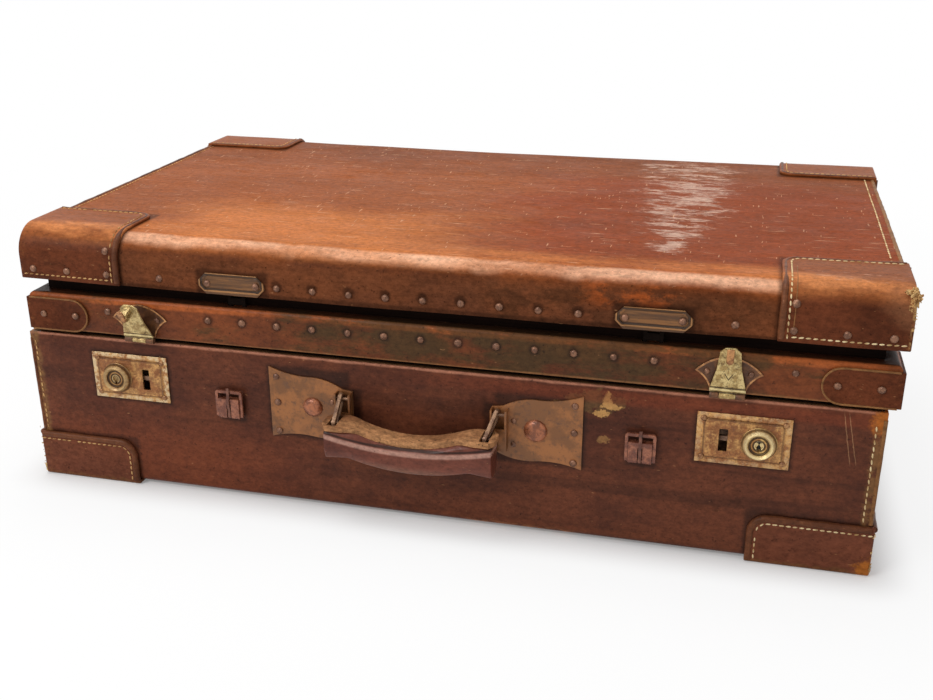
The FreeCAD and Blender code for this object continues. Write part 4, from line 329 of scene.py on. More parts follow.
def lid_edge_marks(f, colour):
    """The lid's rounded front edge: rubbed to orange with a painted highlight, and a pale painted highlight
    along its crest; gives the crest's mask too, for the shine.
    """
    rub = f.mottle(42.0, 5.0, 0.65, along=(0.35, 1, 1), shift=44)
    # The orange band over the rounded edge is rubbed wear and a painted highlight.
    shoulder_highlight = f.near(f.y + (rub - 0.5) * 20.0, -160.0, 8.0, 20.0) * f.fade(f.z, 198.0, 206.0)
    colour = f.tint(colour, rgb(200, 122, 68), shoulder_highlight * f.fade(rub, 0.30, 0.60) * 0.7)
    # A pale painted highlight along the crest of the rounded edge; its mask also lowers the roughness.
    ridge_highlight = f.near(f.y + (rub - 0.5) * 6.0, -171.0, 1.8, 5.5) * f.fade(f.z, 195.0, 201.0)
    bare = f.fade(f.mottle(45.0, 4.0, 0.55, along=(0.3, 1, 1), shift=46), 0.36, 0.62)
    return f.tint(colour, rgb(240, 188, 154), ridge_highlight * (bare * 0.6 + 0.22)), ridge_highlight


def lid_scuff(f, top):
    """A chalky scuff that runs back over the right half of the lid's top."""
    chalk = f.mottle(30.0, 6.0, 0.72, along=(0.5, 1, 1), shift=50)
    half = 24.0 + f.fade(f.y, -70.0, 60.0) * 20.0
    inside = f.fade(abs(f.x - 166.0) + (chalk - 0.5) * 80.0 - half, 14.0, -20.0)
    density = inside * f.near(f.y + (chalk - 0.5) * 60.0, 32.0, 138.0, 34.0) * top
    cover = f.fade(f.mottle(15.0, 5.0, 0.7, along=(0.4, 1, 1), shift=51), 0.34, 0.62)
    speckle = f.mottle(2.6, 5.0, 0.8, along=(0.25, 1, 1), shift=52)
    return f.fade(speckle + density * cover * 0.34, 0.62, 0.88) * f.fade(density, 0.0, 0.25)


def lid_front_marks(f, colour):
    """The lid's front: dark stains, a bare reddish blotch, dirt and painted shade round whatever is fixed on
    it, and painted shade along its lower edge.
    """
    face = f.fade(f.z, 203.0, 192.0)
    colour = f.tint(colour, rgb(132, 84, 60), face * 0.3)
    grime = f.mottle(20.0, 6.0, 0.7, along=(0.6, 1, 1), shift=66)
    place = f.x + (grime - 0.5) * 80.0
    stain = f.near(place, 92.0, 22.0, 34.0) + f.near(place, 205.0, 20.0, 30.0) * 0.7 + 0.25
    stained = (face * stain * f.fade(grime, 0.38, 0.60)).held()
    colour = f.tint(colour, rgb(62, 38, 23), stained * 0.62)
    blotch = f.near(place, 146.0, 16.0, 26.0) * f.fade(f.z, 180.0, 192.0) * f.fade(f.z, 206.0, 198.0)
    colour = f.tint(colour, rgb(176, 86, 38), (blotch * f.fade(grime, 0.60, 0.45)).held() * 0.7)
    # Painted shade with some dirt: a dark band just beside the caps, rings round the rivets and outlines
    # round the anchor plates.
    beyond_cap = LID_RIGHT - LID_CAP - LID_MIDDLE - abs(f.x - LID_MIDDLE)
    dirt = f.fade(beyond_cap, 4.0, 0.3) * f.fade(abs(f.y - MIDDLE.y), 126.0, 131.0)
    dirt = dirt.upper(rivet_dirt_and_shade(f, LID_RIVETS_X, LID_RIVETS_Z, LID_RIVETS_X, 118.0))
    for x in (ANCHORS_MIDDLE - ANCHOR_OFF, ANCHORS_MIDDLE + ANCHOR_OFF):
        shade = fitting_dirt_and_shade(f, x, LID_RIVETS_Z, 26.0, 7.5, grime) * f.fade(f.z, 200.0, 192.0)
        dirt = shade.upper(dirt)
    colour = f.tint(colour, PAINTED_SHADE_BROWN, dirt * 0.6)
    # Painted shade along the lid's lower edge, over the gap above the band.
    shaded_hem = f.fade(f.z, LID_LOW + 3.0, LID_LOW + 0.7)
    return f.tint(colour, PAINTED_SHADE_BROWN, shaded_hem * 0.5)


def lid_marks(f, colour, roughness):
    """The lid: sunned top, rubbed front edge with painted highlights, a chalky scuff to the right and fine
    scratches.
    """
    top = f.fade(f.z, 198.0, 207.0)
    colour = lid_top_marks(f, colour, top)
    colour, ridge_highlight = lid_edge_marks(f, colour)
    scuff = lid_scuff(f, top)
    colour = f.tint(colour, rgb(204, 172, 154), scuff * 0.8)
    colour = scratches(f, colour, (0.05, 1, 1), 1.4, 60, rgb(214, 170, 136), top * 0.7)
    colour = scratches(f, colour, (0.6, 0.09, 1), 1.2, 63, rgb(206, 160, 126), top * 0.6)
    return lid_front_marks(f, colour), roughness - ridge_highlight * 0.12 + scuff * 0.3


def base_marks(f, colour, roughness):
    """The base: faint dark bands, dirt and painted shade round its fittings, bare spots by the handle, a
    painted highlight along its upper edge, worn corners and a scraped lower edge.
    """
    bands = f.fade(f.mottle(18.0, 3.0, 0.6, along=(0.03, 1, 1), shift=71), 0.50, 0.64)
    colour = f.tint(colour, rgb(46, 24, 16), bands * 0.4)
    ember = f.near(f.x, -240.0, 60.0, 120.0) * f.fade(f.z, 80.0, 30.0)
    colour = f.tint(colour, rgb(124, 60, 32), ember * 0.45)
    tear = f.mottle(4.5, 5.0, 0.75, shift=74)
    # Dirt and painted shade just outside the lock plates, handle fittings and caps.
    dirt = 0.0
    for x, z, half_x, half_z in FITTINGS:
        dirt = fitting_dirt_and_shade(f, x, z, half_x, half_z, tear).upper(dirt)
    colour = f.tint(colour, PAINTED_SHADE_BROWN, dirt * f.fade(f.y, -165.0, -175.0) * 0.62)
    halo = ragged_spot(f, 128.0, 114.0, 26.0, 9.0, f.mottle(10.0, 5.0, 0.7, shift=75))
    colour = f.tint(colour, rgb(104, 78, 46), halo * 0.6)
    spots = 0.0
    for x, z, width, height, strength in TORN_SPOTS:
        spots = (ragged_spot(f, x, z, width, height, tear) * strength).upper(spots)
    colour = f.tint(colour, rgb(190, 142, 84), spots * 0.9)
    foot = f.mottle(7.0, 5.0, 0.7, along=(0.25, 1, 1), shift=77)
    scrape = f.near(f.x + (foot - 0.5) * 30.0, 74.0, 34.0, 14.0) * f.fade(f.z + (foot - 0.5) * 26.0, 8.0, 4.0)
    colour = f.tint(colour, rgb(190, 124, 76), scrape * f.fade(foot, 0.44, 0.56) * 0.8)
    colour = f.tint(colour, rgb(138, 88, 54), f.fade(f.z + (foot - 0.5) * 8.0, 3.2, 1.2) * 0.6)
    # A painted highlight along the base's upper edge.
    mouth_highlight = f.fade(f.z + (foot - 0.5) * 3.0, 123.6, 125.2)
    colour = f.tint(colour, rgb(196, 132, 104), mouth_highlight * 0.6)
    below = f.near(f.z, 118.0, 2.5, 5.0) * f.fade(f.x, -60.0, 120.0)
    colour = f.tint(colour, rgb(122, 56, 32), below * 0.5)
    strip = f.fade(abs(f.x - MIDDLE.x) + (foot - 0.5) * 8.0, 315.5, 319.5) * f.fade(f.y, -165.0, -175.0)
    bare = f.fade(f.mottle(9.0, 6.0, 0.7, shift=80), 0.36, 0.54)
    colour = f.tint(colour, rgb(132, 92, 54), strip * bare * 0.8)
    corner = f.fade(f.x + (tear - 0.5) * 16.0, 310.0, 317.0) * f.fade(f.z + (tear - 0.5) * 14.0, 108.0, 115.0)
    colour = f.tint(colour, rgb(180, 100, 34), corner * 0.85)
    for start, lean in ((297.5, 0.20), (301.0, 0.22)):
        across = f.x + (f.z - 108.0) * lean + (foot - 0.5) * 1.5
        line = f.near(across, start, 0.05, 0.4) * f.near(f.z, 104.0, 14.0, 8.0)
        colour = f.tint(colour, rgb(186, 140, 100), line * f.fade(f.y, -175.0, -178.0) * 0.5)
    return colour, roughness


def band_marks(f, colour, roughness):
    """The band: a painted highlight along its rubbed upper edge, painted shade on its flat top under the lid,
    dull green stains, and dirt and painted shade round its rivets.
    """
    wander = f.mottle(34.0, 5.0, 0.65, along=(0.3, 1, 1), shift=83)
    # A painted highlight along the band's rounded upper edge, broken up by the wander noise.
    shoulder_highlight = f.near(f.z + (wander - 0.5) * 3.0, 157.0, 1.4, 2.2)
    colour = f.tint(colour, rgb(176, 92, 44), shoulder_highlight * f.fade(wander, 0.30, 0.55) * 0.8)
    olive = f.mottle(26.0, 6.0, 0.7, along=(0.5, 1, 1.4), shift=85)
    middle = f.near(f.x, 60.0, 90.0, 120.0) * 0.16
    colour = f.tint(colour, rgb(66, 52, 28), f.fade(olive + middle, 0.50, 0.68) * 0.75)
    low = f.fade(f.z + (wander - 0.5) * 4.0, 131.6, 130.3)
    colour = f.tint(colour, rgb(152, 104, 62), low * 0.6)
    # Dirt and painted shade round the band's rivets.
    colour = f.tint(colour, PAINTED_SHADE_BROWN, rivet_dirt_and_shade(f, BAND_RIVETS_X, BAND_RIVETS_Z, BAND_RIVETS_X, 172.0) * 0.6)
    # Painted shade on the band's flat top, in the gap under the lid.
    shaded_ledge = f.fade(f.z, 159.2, 159.8) * f.fade(abs(f.y - MIDDLE.y), 194.6, 192.6)
    return f.tint(colour, PAINTED_SHADE_BROWN, shaded_ledge * 0.85), roughness


def cap_marks(f, colour, roughness):
    """Caps: rubbed to tan on their corners and edges, bare at the lid's right front corner."""
    ends = f.fade(abs(f.x - LID_MIDDLE), 318.0, 331.0)
    fray = f.fade(f.mottle(6.0, 6.0, 0.75, shift=91), 0.50, 0.66)
    colour = f.tint(colour, rgb(168, 106, 60), (ends * fray * 0.6).held())
    soft = f.mottle(20.0, 5.0, 0.6, along=(0.4, 1, 1), shift=93)
    top = f.fade(f.z, 198.0, 208.0)
    colour = f.tint(colour, rgb(158, 88, 44), top * 0.55)
    rub = f.near(f.y + (soft - 0.5) * 14.0, -167.0, 5.0, 10.0) * f.fade(f.z, 195.0, 204.0)
    colour = f.tint(colour, rgb(206, 130, 76), (rub * f.fade(soft, 0.32, 0.60) * 0.8).held())
    chafe = f.fade(f.mottle(3.0, 5.0, 0.8, along=(0.3, 1, 1), shift=94), 0.56, 0.68)
    patch = f.near(f.x, 290.0, 22.0, 16.0) * f.near(f.y, -158.0, 5.0, 8.0) * top
    colour = f.tint(colour, rgb(204, 164, 140), (patch * chafe).held() * 0.7)
    tear = f.mottle(5.0, 6.0, 0.75, shift=95)
    corner = distance(f.x - 331.0, f.y + 185.0, f.z - 205.0)
    torn = f.fade(corner + (tear - 0.5) * 30.0, 8.5, 6.0)
    side = f.near(f.x, 330.0, 1.2, 1.5) * f.near(f.y, -184.5, 1.2, 1.5) * f.fade(tear, 0.46, 0.54)
    bare = torn.upper(side * f.fade(f.z, 165.0, 185.0))
    colour = f.tint(colour, rgb(214, 172, 112), bare * 0.85)
    dusty = f.fade(corner + (soft - 0.5) * 30.0, 26.0, 12.0) * (1.0 - bare)
    colour = f.tint(colour, rgb(144, 96, 66), dusty * 0.4)
    colour = f.tint(colour, rgb(122, 72, 54), f.fade(f.z, 80.0, 60.0) * 0.55)
    foot = f.fade(f.z + (f.mottle(8.0, 5.0, 0.7, shift=97) - 0.5) * 12.0, 5.0, 1.5)
    colour = f.tint(colour, rgb(120, 80, 50), foot * 0.7)
    heel = distance(f.x - 326.0, f.y + 184.0, f.z - 4.0)
    colour = f.tint(colour, rgb(176, 104, 40), f.fade(heel + (tear - 0.5) * 22.0, 13.0, 8.0) * 0.8)
    return colour, roughness + bare * 0.3


def grip_marks(f, colour, roughness):
    """The grip: a painted highlight on its rounded upper edge, which is also made glossier, painted shade in
    the gap under the strap, and red tape left under its right end.
    """
    chord = f.x - GRIP_MIDDLE
    under_strap = f.z - chord * chord * 0.0019
    # A painted highlight along the grip's rounded upper edge.
    shoulder_highlight = f.near(under_strap, 70.2, 0.9, 1.8)
    colour = f.tint(colour, rgb(204, 158, 140), shoulder_highlight * 0.6)
    # A dark line of painted shade in the gap just under the strap.
    colour = f.tint(colour, PAINTED_SHADE_BROWN, f.near(under_strap, 73.6, 0.5, 0.8) * 0.8)
    colour = f.tint(colour, rgb(150, 112, 88), f.fade(f.z + chord * 0.03, 62.0, 54.0) * 0.3)
    tape = f.near(f.x, 42.0, 10.5, 1.0) * f.fade(f.z, 57.6, 56.8)
    return f.tint(colour, rgb(150, 44, 44), tape), roughness - shoulder_highlight * 0.14


def tarnished(name, bright, dull, dark, metallic=0.85, spots=0.5, rough=0.42, size=9.0, marks=None,
              along=(1, 1, 1)):
    """Old plated or brown metal: patina in clouds, dark pits and dirt, thin bright rubs."""
    f = Finish(name)
    clouds = f.mottle(size, 5.0, 0.65, along, shift=1)
    specks = f.mottle(size * 0.16, 4.0, 0.7, along, shift=5)
    colour = f.tint(dull, bright, f.fade(clouds, 0.42, 0.60))
    pits = f.fade(specks, 0.52, 0.68)
    colour = f.tint(colour, dark, pits * spots)
    dirt = f.fade(f.mottle(size * 0.5, 5.0, 0.7, shift=9), 0.55, 0.72)
    colour = f.tint(colour, dark, dirt * 0.5)
    height = specks + clouds * 0.6
    if marks is not None:
        colour, height = marks(f, colour, height)
    roughness = rough + pits * 0.25 + (clouds - 0.5) * 0.4
    bareness = metallic - pits * 0.35 - dirt * 0.3
    return f.close(Base_Color=colour, Metallic=bareness.held(), Roughness=roughness.held(),
                   Normal=f.bump(height, 0.16))


def lock_marks(f, colour, height):
    """A lock plate: plating left bright on its border, painted shade in the sunk line round a pressed field
    inside it.
    """
    across = abs(abs(f.x - LOCKS_MIDDLE) - LOCK_OFF)
    edge = (across - 31.5).upper(abs(f.z - LOCK_Z) - 19.0)
    chips = f.mottle(4.0, 5.0, 0.75, shift=12)
    rim = f.fade(edge + (chips - 0.5) * 6.0, -3.6, -1.4)
    plated = f.fade(f.x, 60.0, -60.0) * 0.6 + 0.3
    colour = f.tint(colour, rgb(222, 194, 150), rim * f.fade(chips, 0.42, 0.56) * plated)
    # Painted shade in the sunk line between the border and the field.
    shaded_groove = f.near(edge, -4.6, 0.3, 0.7)
    colour = f.tint(colour, rgb(70, 38, 18), shaded_groove * 0.6)
    dents = f.fade(f.mottle(3.0, 4.0, 0.7, shift=13), 0.40, 0.62)
    colour = f.tint(colour, rgb(104, 56, 26), f.fade(edge, -4.4, -6.4) * dents * 0.55)
    return colour, height - f.fade(edge, -4.4, -6.0) * 5.0 - shaded_groove * 3.0 + dents * 1.5


def knob_marks(f, colour, height):
    """A lock knob: a broad fluted ring, painted shade in its grooves and a small bright escutcheon with its
    keyhole.
    """
    up = f.z - KNOB_Z
    across = abs(f.x - LOCKS_MIDDLE) - KNOB_OFF
    span = distance(across, up)
    brown = f.fade(f.x, 60.0, -60.0)
    colour = f.tint(colour, rgb(120, 70, 36), brown * 0.55)
    crown = f.near(span, 9.4, 0.8, 2.2)
    colour = f.tint(colour, rgb(236, 214, 160), crown * (0.75 - brown * 0.5))
    # Painted shade in the knob's grooves.
    shaded_groove = 0.0
    for radius, half, soft, depth in ((6.4, 0.3, 0.7, 1.0), (3.9, 0.25, 0.5, 1.0), (11.7, 0.2, 0.6, 0.7)):
        shaded_groove = (f.near(span, radius, half, soft) * depth).upper(shaded_groove)
    colour = f.tint(colour, rgb(34, 19, 10), shaded_groove * 0.85)
    bright = f.fade(span, 3.8, 3.0)
    colour = f.tint(colour, rgb(238, 216, 160), bright * (0.8 - brown * 0.4))
    keyhole = f.fade(abs(across) - abs(up) * 0.55, 0.35, 0.0) * bright
    colour = f.tint(colour, rgb(16, 10, 6), keyhole * (1.0 - brown * 0.8))
    return colour, height + crown * 3.0 - shaded_groove * 5.0 - keyhole * 3.0


def anchor_marks(f, colour, height):
    """An anchor plate: a rolled bead round a darker pressed field, with painted shade in the sunk line inside
    the bead.
    """
    across = abs(abs(f.x - ANCHORS_MIDDLE) - ANCHOR_OFF)
    up = abs(f.z - LID_RIVETS_Z)
    edge = (across - 26.5).upper(up - 8.0).upper((across + up - 30.4) * 0.7)
    bead = f.near(edge, -1.1, 0.4, 0.6)
    # Painted shade in the sunk line inside the bead.
    shaded_groove = f.near(edge, -2.5, 0.4, 0.7)
    colour = f.tint(colour, rgb(176, 124, 74), bead * 0.7)
    colour = f.tint(colour, rgb(42, 26, 14), shaded_groove * 0.8)
    return colour, height + bead * 4.0 - shaded_groove * 4.0


def hasp_marks(f, colour, height):
    """A hasp: cracked plating, dark specks, and a raised bar above its foot with a painted highlight on it,
    and painted shade in the creases beside it and in a cut arrow.
    """
    cracks = f.fade(f.mottle(3.0, 5.0, 0.8, shift=14), 0.56, 0.64)
    colour = f.tint(colour, rgb(70, 46, 22), cracks * 0.7)
    arrow = f.near(f.z - abs(f.x - HASP_RIGHT) * 1.5, 141.0, 0.25, 0.5) * f.near(f.x, HASP_RIGHT, 2.6, 0.3)
    # A painted highlight on the raised bar above the foot; the dark lines are painted shade in the creases
    # beside it and in the cut arrow.
    ridge_highlight = f.near(f.z, 133.2, 0.5, 0.5)
    shaded_fold = f.near(f.z, 134.8, 0.2, 0.5).upper(f.near(f.z, 131.4, 0.2, 0.5)).upper(arrow)
    colour = f.tint(colour, rgb(238, 218, 160), ridge_highlight * 0.6)
    colour = f.tint(colour, rgb(46, 30, 15), shaded_fold * 0.85)
    return colour, height - cracks * 1.0 - shaded_fold * 4.0 + ridge_highlight * 3.0


def woven(name, warp, weft, size):
    """Plain woven cloth glued to the board, a little soiled."""
    f = Finish(name)
    over = ((f.x + f.z) * (math.pi / size)).sine()
    under = ((f.y + f.z) * (math.pi / size)).sine()
    weave = over * under * 0.5 + 0.5
    soil = f.fade(f.mottle(60.0, 5.0, 0.65, shift=4), 0.42, 0.70)
    colour = f.tint(f.tint(warp, weft, weave), rgb(120, 92, 62), soil * 0.5)
    return f.close(Base_Color=colour, Roughness=0.92, Normal=f.bump(weave, 0.12))


def pressed_board(name, pale, dark, along=(0.2, 1, 1)):
    """Fibre board or plain wood, with long fibres and soiled patches."""
    f = Finish(name)
    fibre = f.mottle(2.0, 5.0, 0.7, along=along, shift=2)
    soil = f.mottle(50.0, 4.0, 0.6, shift=6)
    colour = f.tint(dark, pale, f.fade(fibre * 0.6 + soil * 0.4, 0.36, 0.64))
    return f.close(Base_Color=colour, Roughness=0.8, Specular_IOR_Level=0.05, Normal=f.bump(fibre, 0.12))


def waxed_thread(name, pale, dirty):
    """Waxed linen thread: two plies turned together, soiled in places."""
    f = Finish(name)
    soil = f.fade(f.mottle(14.0, 4.0, 0.7, shift=2), 0.42, 0.66)
    ply = f.mottle(0.5, 2.0, 0.5, shift=4)
    return f.close(Base_Color=f.tint(pale, dirty, soil), Roughness=0.8, Specular_IOR_Level=0.2,
                   Normal=f.bump(ply, 0.1))


FINISHES = {
    "lid": hide("lid_hide", rgb(84, 42, 21), rgb(112, 58, 28), rgb(152, 88, 46), lid_marks, 0.42,
                streak=0.6, shine=0.02),
    "base": hide("base_hide", rgb(80, 41, 27), rgb(104, 56, 36), rgb(130, 80, 52), base_marks, 0.42),
    "band": hide("band_hide", rgb(94, 48, 26), rgb(122, 64, 34), rgb(150, 86, 48), band_marks, 0.42),
    "cap": hide("cap_hide", rgb(80, 40, 23), rgb(104, 54, 32), rgb(136, 82, 50), cap_marks, 0.42, shine=0.06),
    "welt": hide("welt_hide", rgb(84, 46, 28), rgb(112, 66, 40), rgb(164, 112, 70), None, 0.4, 1.1),
    "bead": hide("bead_hide", rgb(120, 80, 46), rgb(142, 98, 58), rgb(184, 140, 92), None, 0.5, 1.2),
    "grip": hide("grip_hide", rgb(88, 44, 33), rgb(114, 62, 47), rgb(146, 96, 76), grip_marks, 0.36,
                 shine=0.2),
    "raw": hide("raw_hide", rgb(128, 84, 54), rgb(178, 128, 86), rgb(216, 174, 128), None, 0.7, 1.9, 0.8),
    "rusty brass": tarnished("rusty_brass", rgb(206, 154, 92), rgb(156, 100, 54), rgb(92, 50, 24),
                             0.45, 0.6, 0.36, marks=lock_marks),
    "knob brass": tarnished("knob_brass", rgb(212, 172, 104), rgb(160, 112, 60), rgb(84, 50, 26),
                            0.5, 0.4, 0.36, 6.0, knob_marks),
    "pale brass": tarnished("pale_brass", rgb(216, 190, 130), rgb(164, 134, 80), rgb(84, 58, 30),
                            0.45, 0.7, 0.36, 5.0, hasp_marks),
    "wing brass": tarnished("wing_brass", rgb(118, 76, 46), rgb(84, 52, 32), rgb(44, 26, 15), 0.4, 0.4),
    "anchor": tarnished("anchor_brass", rgb(136, 90, 48), rgb(90, 58, 32), rgb(48, 30, 18),
                        0.35, 0.4, 0.4, 5.0, anchor_marks, (0.06, 1, 1)),
    "plate": tarnished("plate_brown", rgb(158, 101, 56), rgb(124, 80, 46), rgb(66, 42, 27),
                       0.35, 0.5, 0.36, 20.0),
    "copper": tarnished("boss_copper", rgb(178, 108, 72), rgb(126, 74, 50), rgb(64, 38, 26), 0.4, 0.4, 0.28),
    "steel": tarnished("brown_steel", rgb(150, 114, 86), rgb(104, 72, 52), rgb(50, 32, 22), 0.45, 0.4, 0.32),
    # Near-black for the racks in the gap between lid and band: painted shade.
    "gap steel": pressed_board("gap_steel_painted_shade", rgb(26, 17, 13), rgb(15, 10, 8)),
    "rim brass": tarnished("rim_brass", rgb(196, 140, 88), rgb(146, 98, 60), rgb(84, 50, 28),
                           0.5, 0.3, 0.3, 5.0),
    "rivet": tarnished("rivet_steel", rgb(144, 100, 74), rgb(102, 66, 46), rgb(48, 28, 19),
                       0.4, 0.4, 0.28, 4.0),
    "knob rivet": tarnished("lock_rivet", rgb(176, 128, 82), rgb(128, 84, 50), rgb(66, 40, 22),
                            0.4, 0.4, 0.3, 3.0),
    "japan": tarnished("worn_japan", rgb(156, 96, 70), rgb(112, 62, 45), rgb(54, 29, 20),
                       0.25, 0.4, 0.24, 6.0),
    "prong": tarnished("prong_steel", rgb(128, 82, 64), rgb(92, 54, 42), rgb(52, 30, 22), 0.4, 0.3),
    "board": pressed_board("fibre_board", rgb(108, 78, 50), rgb(74, 50, 34)),
    # Near-black for the inner wall seen in the gap, and for the base's rim: painted shade.
    "wood": pressed_board("rim_wood", rgb(30, 17, 12), rgb(19, 11, 8), (0.08, 1, 1)),
    "cloth": woven("lining_cloth", rgb(178, 152, 112), rgb(158, 130, 92), 0.9),
    "cream": waxed_thread("cream_thread", rgb(236, 212, 164), rgb(176, 138, 88)),
    "tan": waxed_thread("tan_thread", rgb(210, 166, 110), rgb(140, 98, 58)),
    "shreds": waxed_thread("torn_fibre", rgb(228, 192, 132), rgb(146, 100, 56)),
}


# ---------------------------------------------------------------------------------------------
# Pieces worked up from the solids
# ---------------------------------------------------------------------------------------------
def shell_swell(place):
    """How the old lid has moved: a low wave over the top, a sagging middle and a knocked front edge."""
    x, y, z = place / MM
    wave = noise.noise(Vector((x, y, z)) / 95.0) * 0.8
    sag = -1.6 * max(0.0, 1.0 - ((x - LID_MIDDLE) / 330.0) ** 2)
    edge = math.exp(-(((y + 176.0) / 16.0) ** 2 + ((z - 204.0) / 12.0) ** 2))
    knock = noise.noise(Vector((x / 26.0, 3.7, 0.0))) + 0.6 * noise.noise(Vector((x / 11.0, 9.1, 0.0)))
    calm = 1.0 if abs(x - LID_MIDDLE) < 230.0 else 0.25
    dent = edge * calm * min(0.0, knock) * 2.6
    return Vector((0.0, -dent * 0.75, wave + sag + dent)) * MM


def board_swell(place):
    """The board's outer skin follows its cover; its inner face and the lining hardly sink."""
    beyond = abs(place.y / MM - MIDDLE.y) - (BACK - MIDDLE.y - LID_ROUND)
    above = place.z / MM - (LID_TOP - LID_ROUND)
    push = shell_swell(place)
    if math.hypot(max(0.0, beyond), max(0.0, above)) > LID_ROUND - 4.4:
        return push
    return Vector((0.0, 0.0, push.z * 0.3))


SWELLS = {"lid_shell": shell_swell}
STIFF = ("made_shell_board", "made_shell_lining")


def body_of(node):
    return frame["nodes"][node]["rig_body"]


def merged_copy(node):
    """The solid's mesh, joined up and with its flat faces whole again."""
    bm = bmesh.new()
    bm.from_mesh(frame["nodes"][node].data)
    bmesh.ops.remove_doubles(bm, verts=bm.verts, dist=2e-6)
    bmesh.ops.dissolve_limit(bm, angle_limit=math.radians(1.0), verts=bm.verts, edges=bm.edges)
    return bm


def soften(bm, width, segments=2, least=math.radians(38)):
    """Breaks the sharp edges by a small round."""
    sharp = [e for e in bm.edges if len(e.link_faces) == 2 and e.calc_face_angle(0.0) > least]
    bmesh.ops.bevel(bm, geom=sharp, offset=width * MM, offset_type="OFFSET", segments=segments,
                    profile=0.5, affect="EDGES", clamp_overlap=True, material=-1)


def slice_up(bm, step, axes="XYZ"):
    """Cuts a mesh into a grid along the given axes."""
    for axis in axes:
        index = "XYZ".index(axis)
        reach = [v.co[index] for v in bm.verts]
        low, high = min(reach), max(reach)
        count = int((high - low) / (step * MM))
        normal = Vector((0, 0, 0))
        normal[index] = 1.0
        for n in range(1, count):
            cut = normal * (low + (high - low) * n / count)
            everything = bm.verts[:] + bm.edges[:] + bm.faces[:]
            bmesh.ops.bisect_plane(bm, geom=everything, dist=1e-7, plane_co=cut, plane_no=normal)


def press_field(bm, rim, depth, least):
    """Presses the field of every broad outer face in, leaving a raised rim round it."""
    outer = [face for face in bm.faces
             if abs(face.normal.y) > 0.98 and face.calc_area() > least * MM * MM
             and face.normal.y * (face.calc_center_median().y - MIDDLE.y * MM) > 0]
    for face in outer:
        border = bmesh.ops.inset_region(bm, faces=[face], thickness=rim * 0.5 * MM, depth=0.0,
                                        use_even_offset=True)
        for strip in border["faces"]:
            strip.material_index = 1
        bmesh.ops.inset_region(bm, faces=[face], thickness=rim * 0.5 * MM, depth=-depth * MM,
                               use_even_offset=True)


def finish_piece(bm, name, finish, body, smooth=35.0, nodes=(), rim=None):
    """Makes the object, moves it as its body has moved with age, and lets it ride."""
    swell = board_swell if name in STIFF else SWELLS.get(body)
    if swell:
        for vertex in bm.verts:
            vertex.co += swell(vertex.co)
    mesh = bpy.data.meshes.new(name)
    bm.to_mesh(mesh)
    bm.free()
    mesh.polygons.foreach_set("use_smooth", [True] * len(mesh.polygons))
    mesh.set_sharp_from_angle(angle=math.radians(smooth))
    mesh.materials.append(FINISHES[finish])
    if rim:
        mesh.materials.append(FINISHES[rim])
    piece = bpy.data.objects.new(name, mesh)
    bpy.context.scene.collection.objects.link(piece)
    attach(piece, body)
    if nodes:
        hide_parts(*nodes)
    return piece


def plump_grip(bm):
    """Rounds the grip as stitched leather over a core, and lets its ends hang as low as its middle."""
    slice_up(bm, 3.0)
    for _ in range(4):
        bmesh.ops.smooth_vert(bm, verts=bm.verts, factor=0.5,
                              use_axis_x=True, use_axis_y=True, use_axis_z=True)
    for vertex in bm.verts:
        x, _, z = vertex.co / MM
        low = min(1.0, max(0.0, (77.0 - z) / 14.0))
        hang = 3.4 * min(1.0, ((x - GRIP_MIDDLE) / GRIP_HALF) ** 2)
        vertex.co.z -= low * (hang + 0.016 * (x - GRIP_MIDDLE)) * MM


def shorten_tongue(bm):
    """Shortens a hasp's tongue along itself, and adds its hook and its round boss."""
    x = sum(v.co.x for v in bm.verts) / len(bm.verts)
    axis = Vector((x, HASP_PIN_Y * MM, HASP_PIN_Z * MM))
    reach = max((v.co - axis).length for v in bm.verts)
    far = [v.co for v in bm.verts if (v.co - axis).length > reach * 0.93]
    up = sum(far, Vector()) / len(far) - axis
    up.x = 0.0
    up.normalize()
    for vertex in bm.verts:
        along = (vertex.co - axis).dot(up)
        if along > 0:
            vertex.co -= up * along * 0.13
    side = Vector((1, 0, 0))
    out = side.cross(up)
    turn = Matrix((side, out, up)).transposed().to_4x4()
    tip = max((v.co - axis).dot(up) for v in bm.verts)
    face = max((v.co - axis).dot(out) for v in bm.verts if (v.co - axis).dot(up) > tip * 0.5)
    hook = bmesh.new()
    bmesh.ops.create_cube(hook, size=1.0, matrix=Matrix.Diagonal((5.0 * MM, 1.4 * MM, 7.5 * MM, 1)))
    soften(hook, 0.45)
    rounded = bpy.data.meshes.new("hook")
    hook.to_mesh(rounded)
    hook.free()
    before = set(bm.verts)
    bm.from_mesh(rounded)
    place = Matrix.Translation(axis + up * (tip + 0.6 * MM) + out * (face + 0.6 * MM)) @ turn
    bmesh.ops.transform(bm, matrix=place, verts=[v for v in bm.verts if v not in before])
    boss = Matrix.Translation(axis + up * (tip - 4.6 * MM) + out * face) @ turn
    bmesh.ops.create_uvsphere(bm, u_segments=16, v_segments=10, radius=1.0,
                              matrix=boss @ Matrix.Diagonal((2.6 * MM, 1.7 * MM, 2.6 * MM, 1)))
    for face in bm.faces:
        if all(v not in before for v in face.verts):
            face.material_index = 1
    bpy.data.meshes.remove(rounded)


RESHAPED = {"grip": plump_grip, "hasp_left": shorten_tongue, "hasp_right": shorten_tongue}
ADDED_PARTS = {"hasp_left": "rim brass", "hasp_right": "rim brass"}


